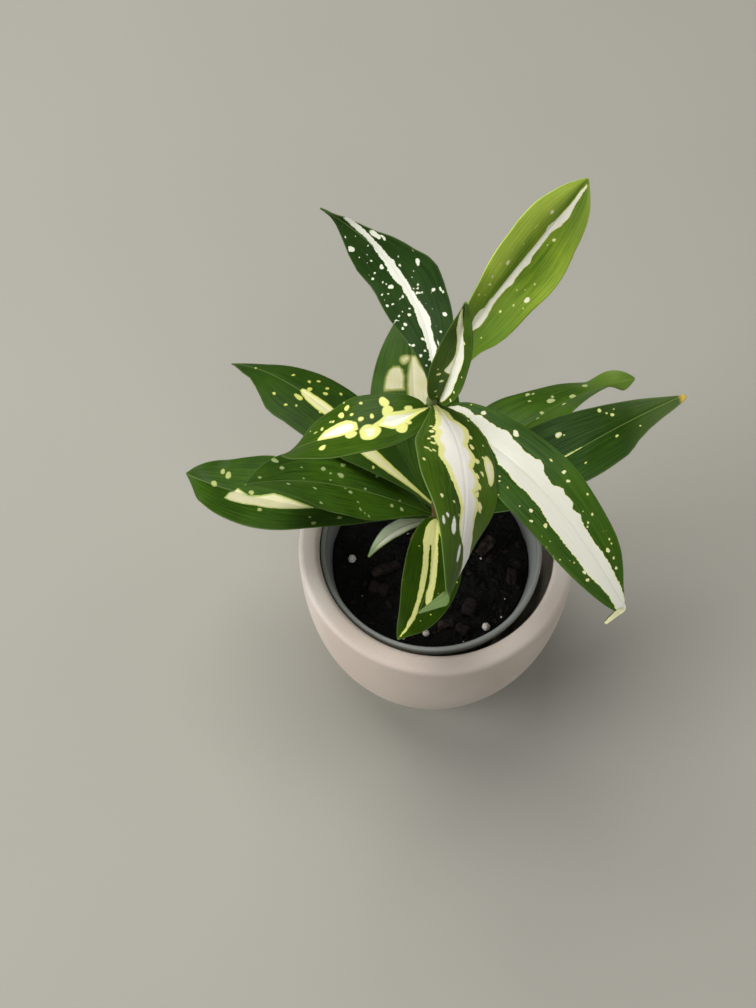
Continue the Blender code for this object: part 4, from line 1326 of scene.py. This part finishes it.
def growLeaf(name):
    leaf = {**leafDefaults, **leafShapes[name]}
    look = {**leafLook, **leafOwnLook[name]}
    seed = sum(ord(letter) for letter in name)
    spacing = leafBlade["spacing"]
    sheath = leafBlade["sheath"] / leaf["length"]
    rows = round((leaf["length"] + leafBlade["sheath"]) / spacing)
    half = round(leaf["width"] / 2 / spacing)
    shape = bmesh.new()
    bmesh.ops.create_grid(shape, x_segments=rows, y_segments=2 * half, size=1)
    skins = [leafSkin(name, look, leaf["width"], seed % 17), leafUnderside(name, look)]
    piece = addPiece(name + "_blade", shape, skins, name)
    mesh = piece.data
    flat = np.empty(len(mesh.vertices) * 3, np.float32)
    mesh.vertices.foreach_get("co", flat)
    s = (flat[0::3] + 1) / 2 * (1 + sheath) - sheath
    v = flat[1::3].copy()
    wrap = eased(-s / sheath)
    plain = plainWidth(leaf, s, v) + leafBlade["sheathWider"] * wrap
    leftEdge, rightEdge = (np.array(edge, float).T for edge in leafEdges.get(name, leafEdges["plain"]))
    nudge = np.where(v > 0, np.interp(s, *leftEdge), np.interp(s, *rightEdge))
    wide = np.maximum(plain + nudge, leafBlade["tipHalfWidth"])
    points = bladePoints(leaf, seed, s, v, wide, wrap) * mm
    mesh.vertices.foreach_set("co", points.astype(np.float32).ravel())
    bands, spots = markFields(leaf, leafMarks[name], s, v * wide, plain)
    fields = {"band": bands, "spots": spots, "edge": (1 - np.abs(v)) * wide, "aside": np.abs(v) * wide}
    for key, values in fields.items():
        held = mesh.attributes.new(key, "FLOAT", "POINT")
        held.data.foreach_set("value", values.astype(np.float32))
    layChart(mesh, s, v)
    thicken(piece, v, wide)
    mesh.update()
    return piece


# Room: a plain pale floor, four soft lamps and a faint sky; metres and watts
room = {
    "floor": tint(167, 165, 156),
    "floorSize": 3.0,
    "sky": tint(228, 230, 228),
    "skyStrength": 0.14,
    "aim": (0, 0, 0.12),
    "lamps": {  # place, size, power, colour
        "key": ((-0.3, 0.45, 1.4), 1.0, 17, (1.0, 0.98, 0.95)),
        "side": ((-1.28, -0.3, 0.62), 0.9, 14, (1, 1, 1)),
        "front": ((0.19, -1.06, 1.02), 0.9, 3.5, (1, 1, 1)),
        "right": ((1.25, 0.1, 0.75), 0.9, 2.5, (1, 1, 1)),
    },
}


def softLamp(name, place, size, power, colour):
    lamp = bpy.data.lights.new(name, "AREA")
    lamp.shape = "DISK"
    lamp.size = size
    lamp.energy = power
    lamp.color = colour
    holder = placed(name, lamp)
    holder.location = place
    holder.rotation_euler = (Vector(room["aim"]) - Vector(place)).to_track_quat("-Z", "Y").to_euler()


def buildRoom():
    shape = bmesh.new()
    bmesh.ops.create_grid(shape, x_segments=1, y_segments=1, size=room["floorSize"])
    mesh = meshOf("floor", shape)
    paint = Paint("plain floor", Roughness=0.9, Specular_IOR_Level=0.2)
    soft = paint.cloud(paint.place(), 6, 2)
    shade = tuple(c * 0.94 for c in room["floor"][:3]) + (1,)
    mesh.materials.append(paint.finish(paint.mix(soft, shade, room["floor"])))
    floor = placed("floor", mesh)
    world = bpy.data.worlds.new("soft sky")
    bpy.context.scene.world = world
    world.use_nodes = True
    sky = world.node_tree.nodes["Background"]
    sky.inputs["Color"].default_value = room["sky"]
    sky.inputs["Strength"].default_value = room["skyStrength"]
    for name, lamp in room["lamps"].items():
        softLamp(name, *lamp)
    bpy.context.scene.view_settings.view_transform = "Standard"


# The camera of the photo: its place in metres, lens and sensor height in mm
view = {"place": (-0.0256, -0.277, 0.6845), "tilt": 26.5, "lens": 54.07, "sensor": 36}


def placeCamera():
    lens = bpy.data.cameras.new("photo view")
    lens.lens = view["lens"]
    lens.sensor_fit = "VERTICAL"
    lens.sensor_height = view["sensor"]
    camera = placed("photo view", lens)
    camera.location = view["place"]
    camera.rotation_euler = (math.radians(view["tilt"]), 0, 0)
    bpy.context.scene.camera = camera


placeCamera()
buildRoom()
print("camera, floor and lights are in place")
coverPot()
growingPot()
print("pots turned")
darkMix = soilMix()
soilBody(darkMix)
barkLook = barkSkin()
crumbs(darkMix, barkLook)
perliteLook = perliteSkin()
grit(perliteLook)
fibres(barkLook)
for number in range(1, bark["chips"] + 1):
    barkChip(number, barkLook)
for number in range(1, perlite["grains"] + 1):
    perliteGrain(number, perliteLook)
print("soil laid")
caneStem()
for leafName in leafShapes:
    growLeaf(leafName)
print("leaves grown")
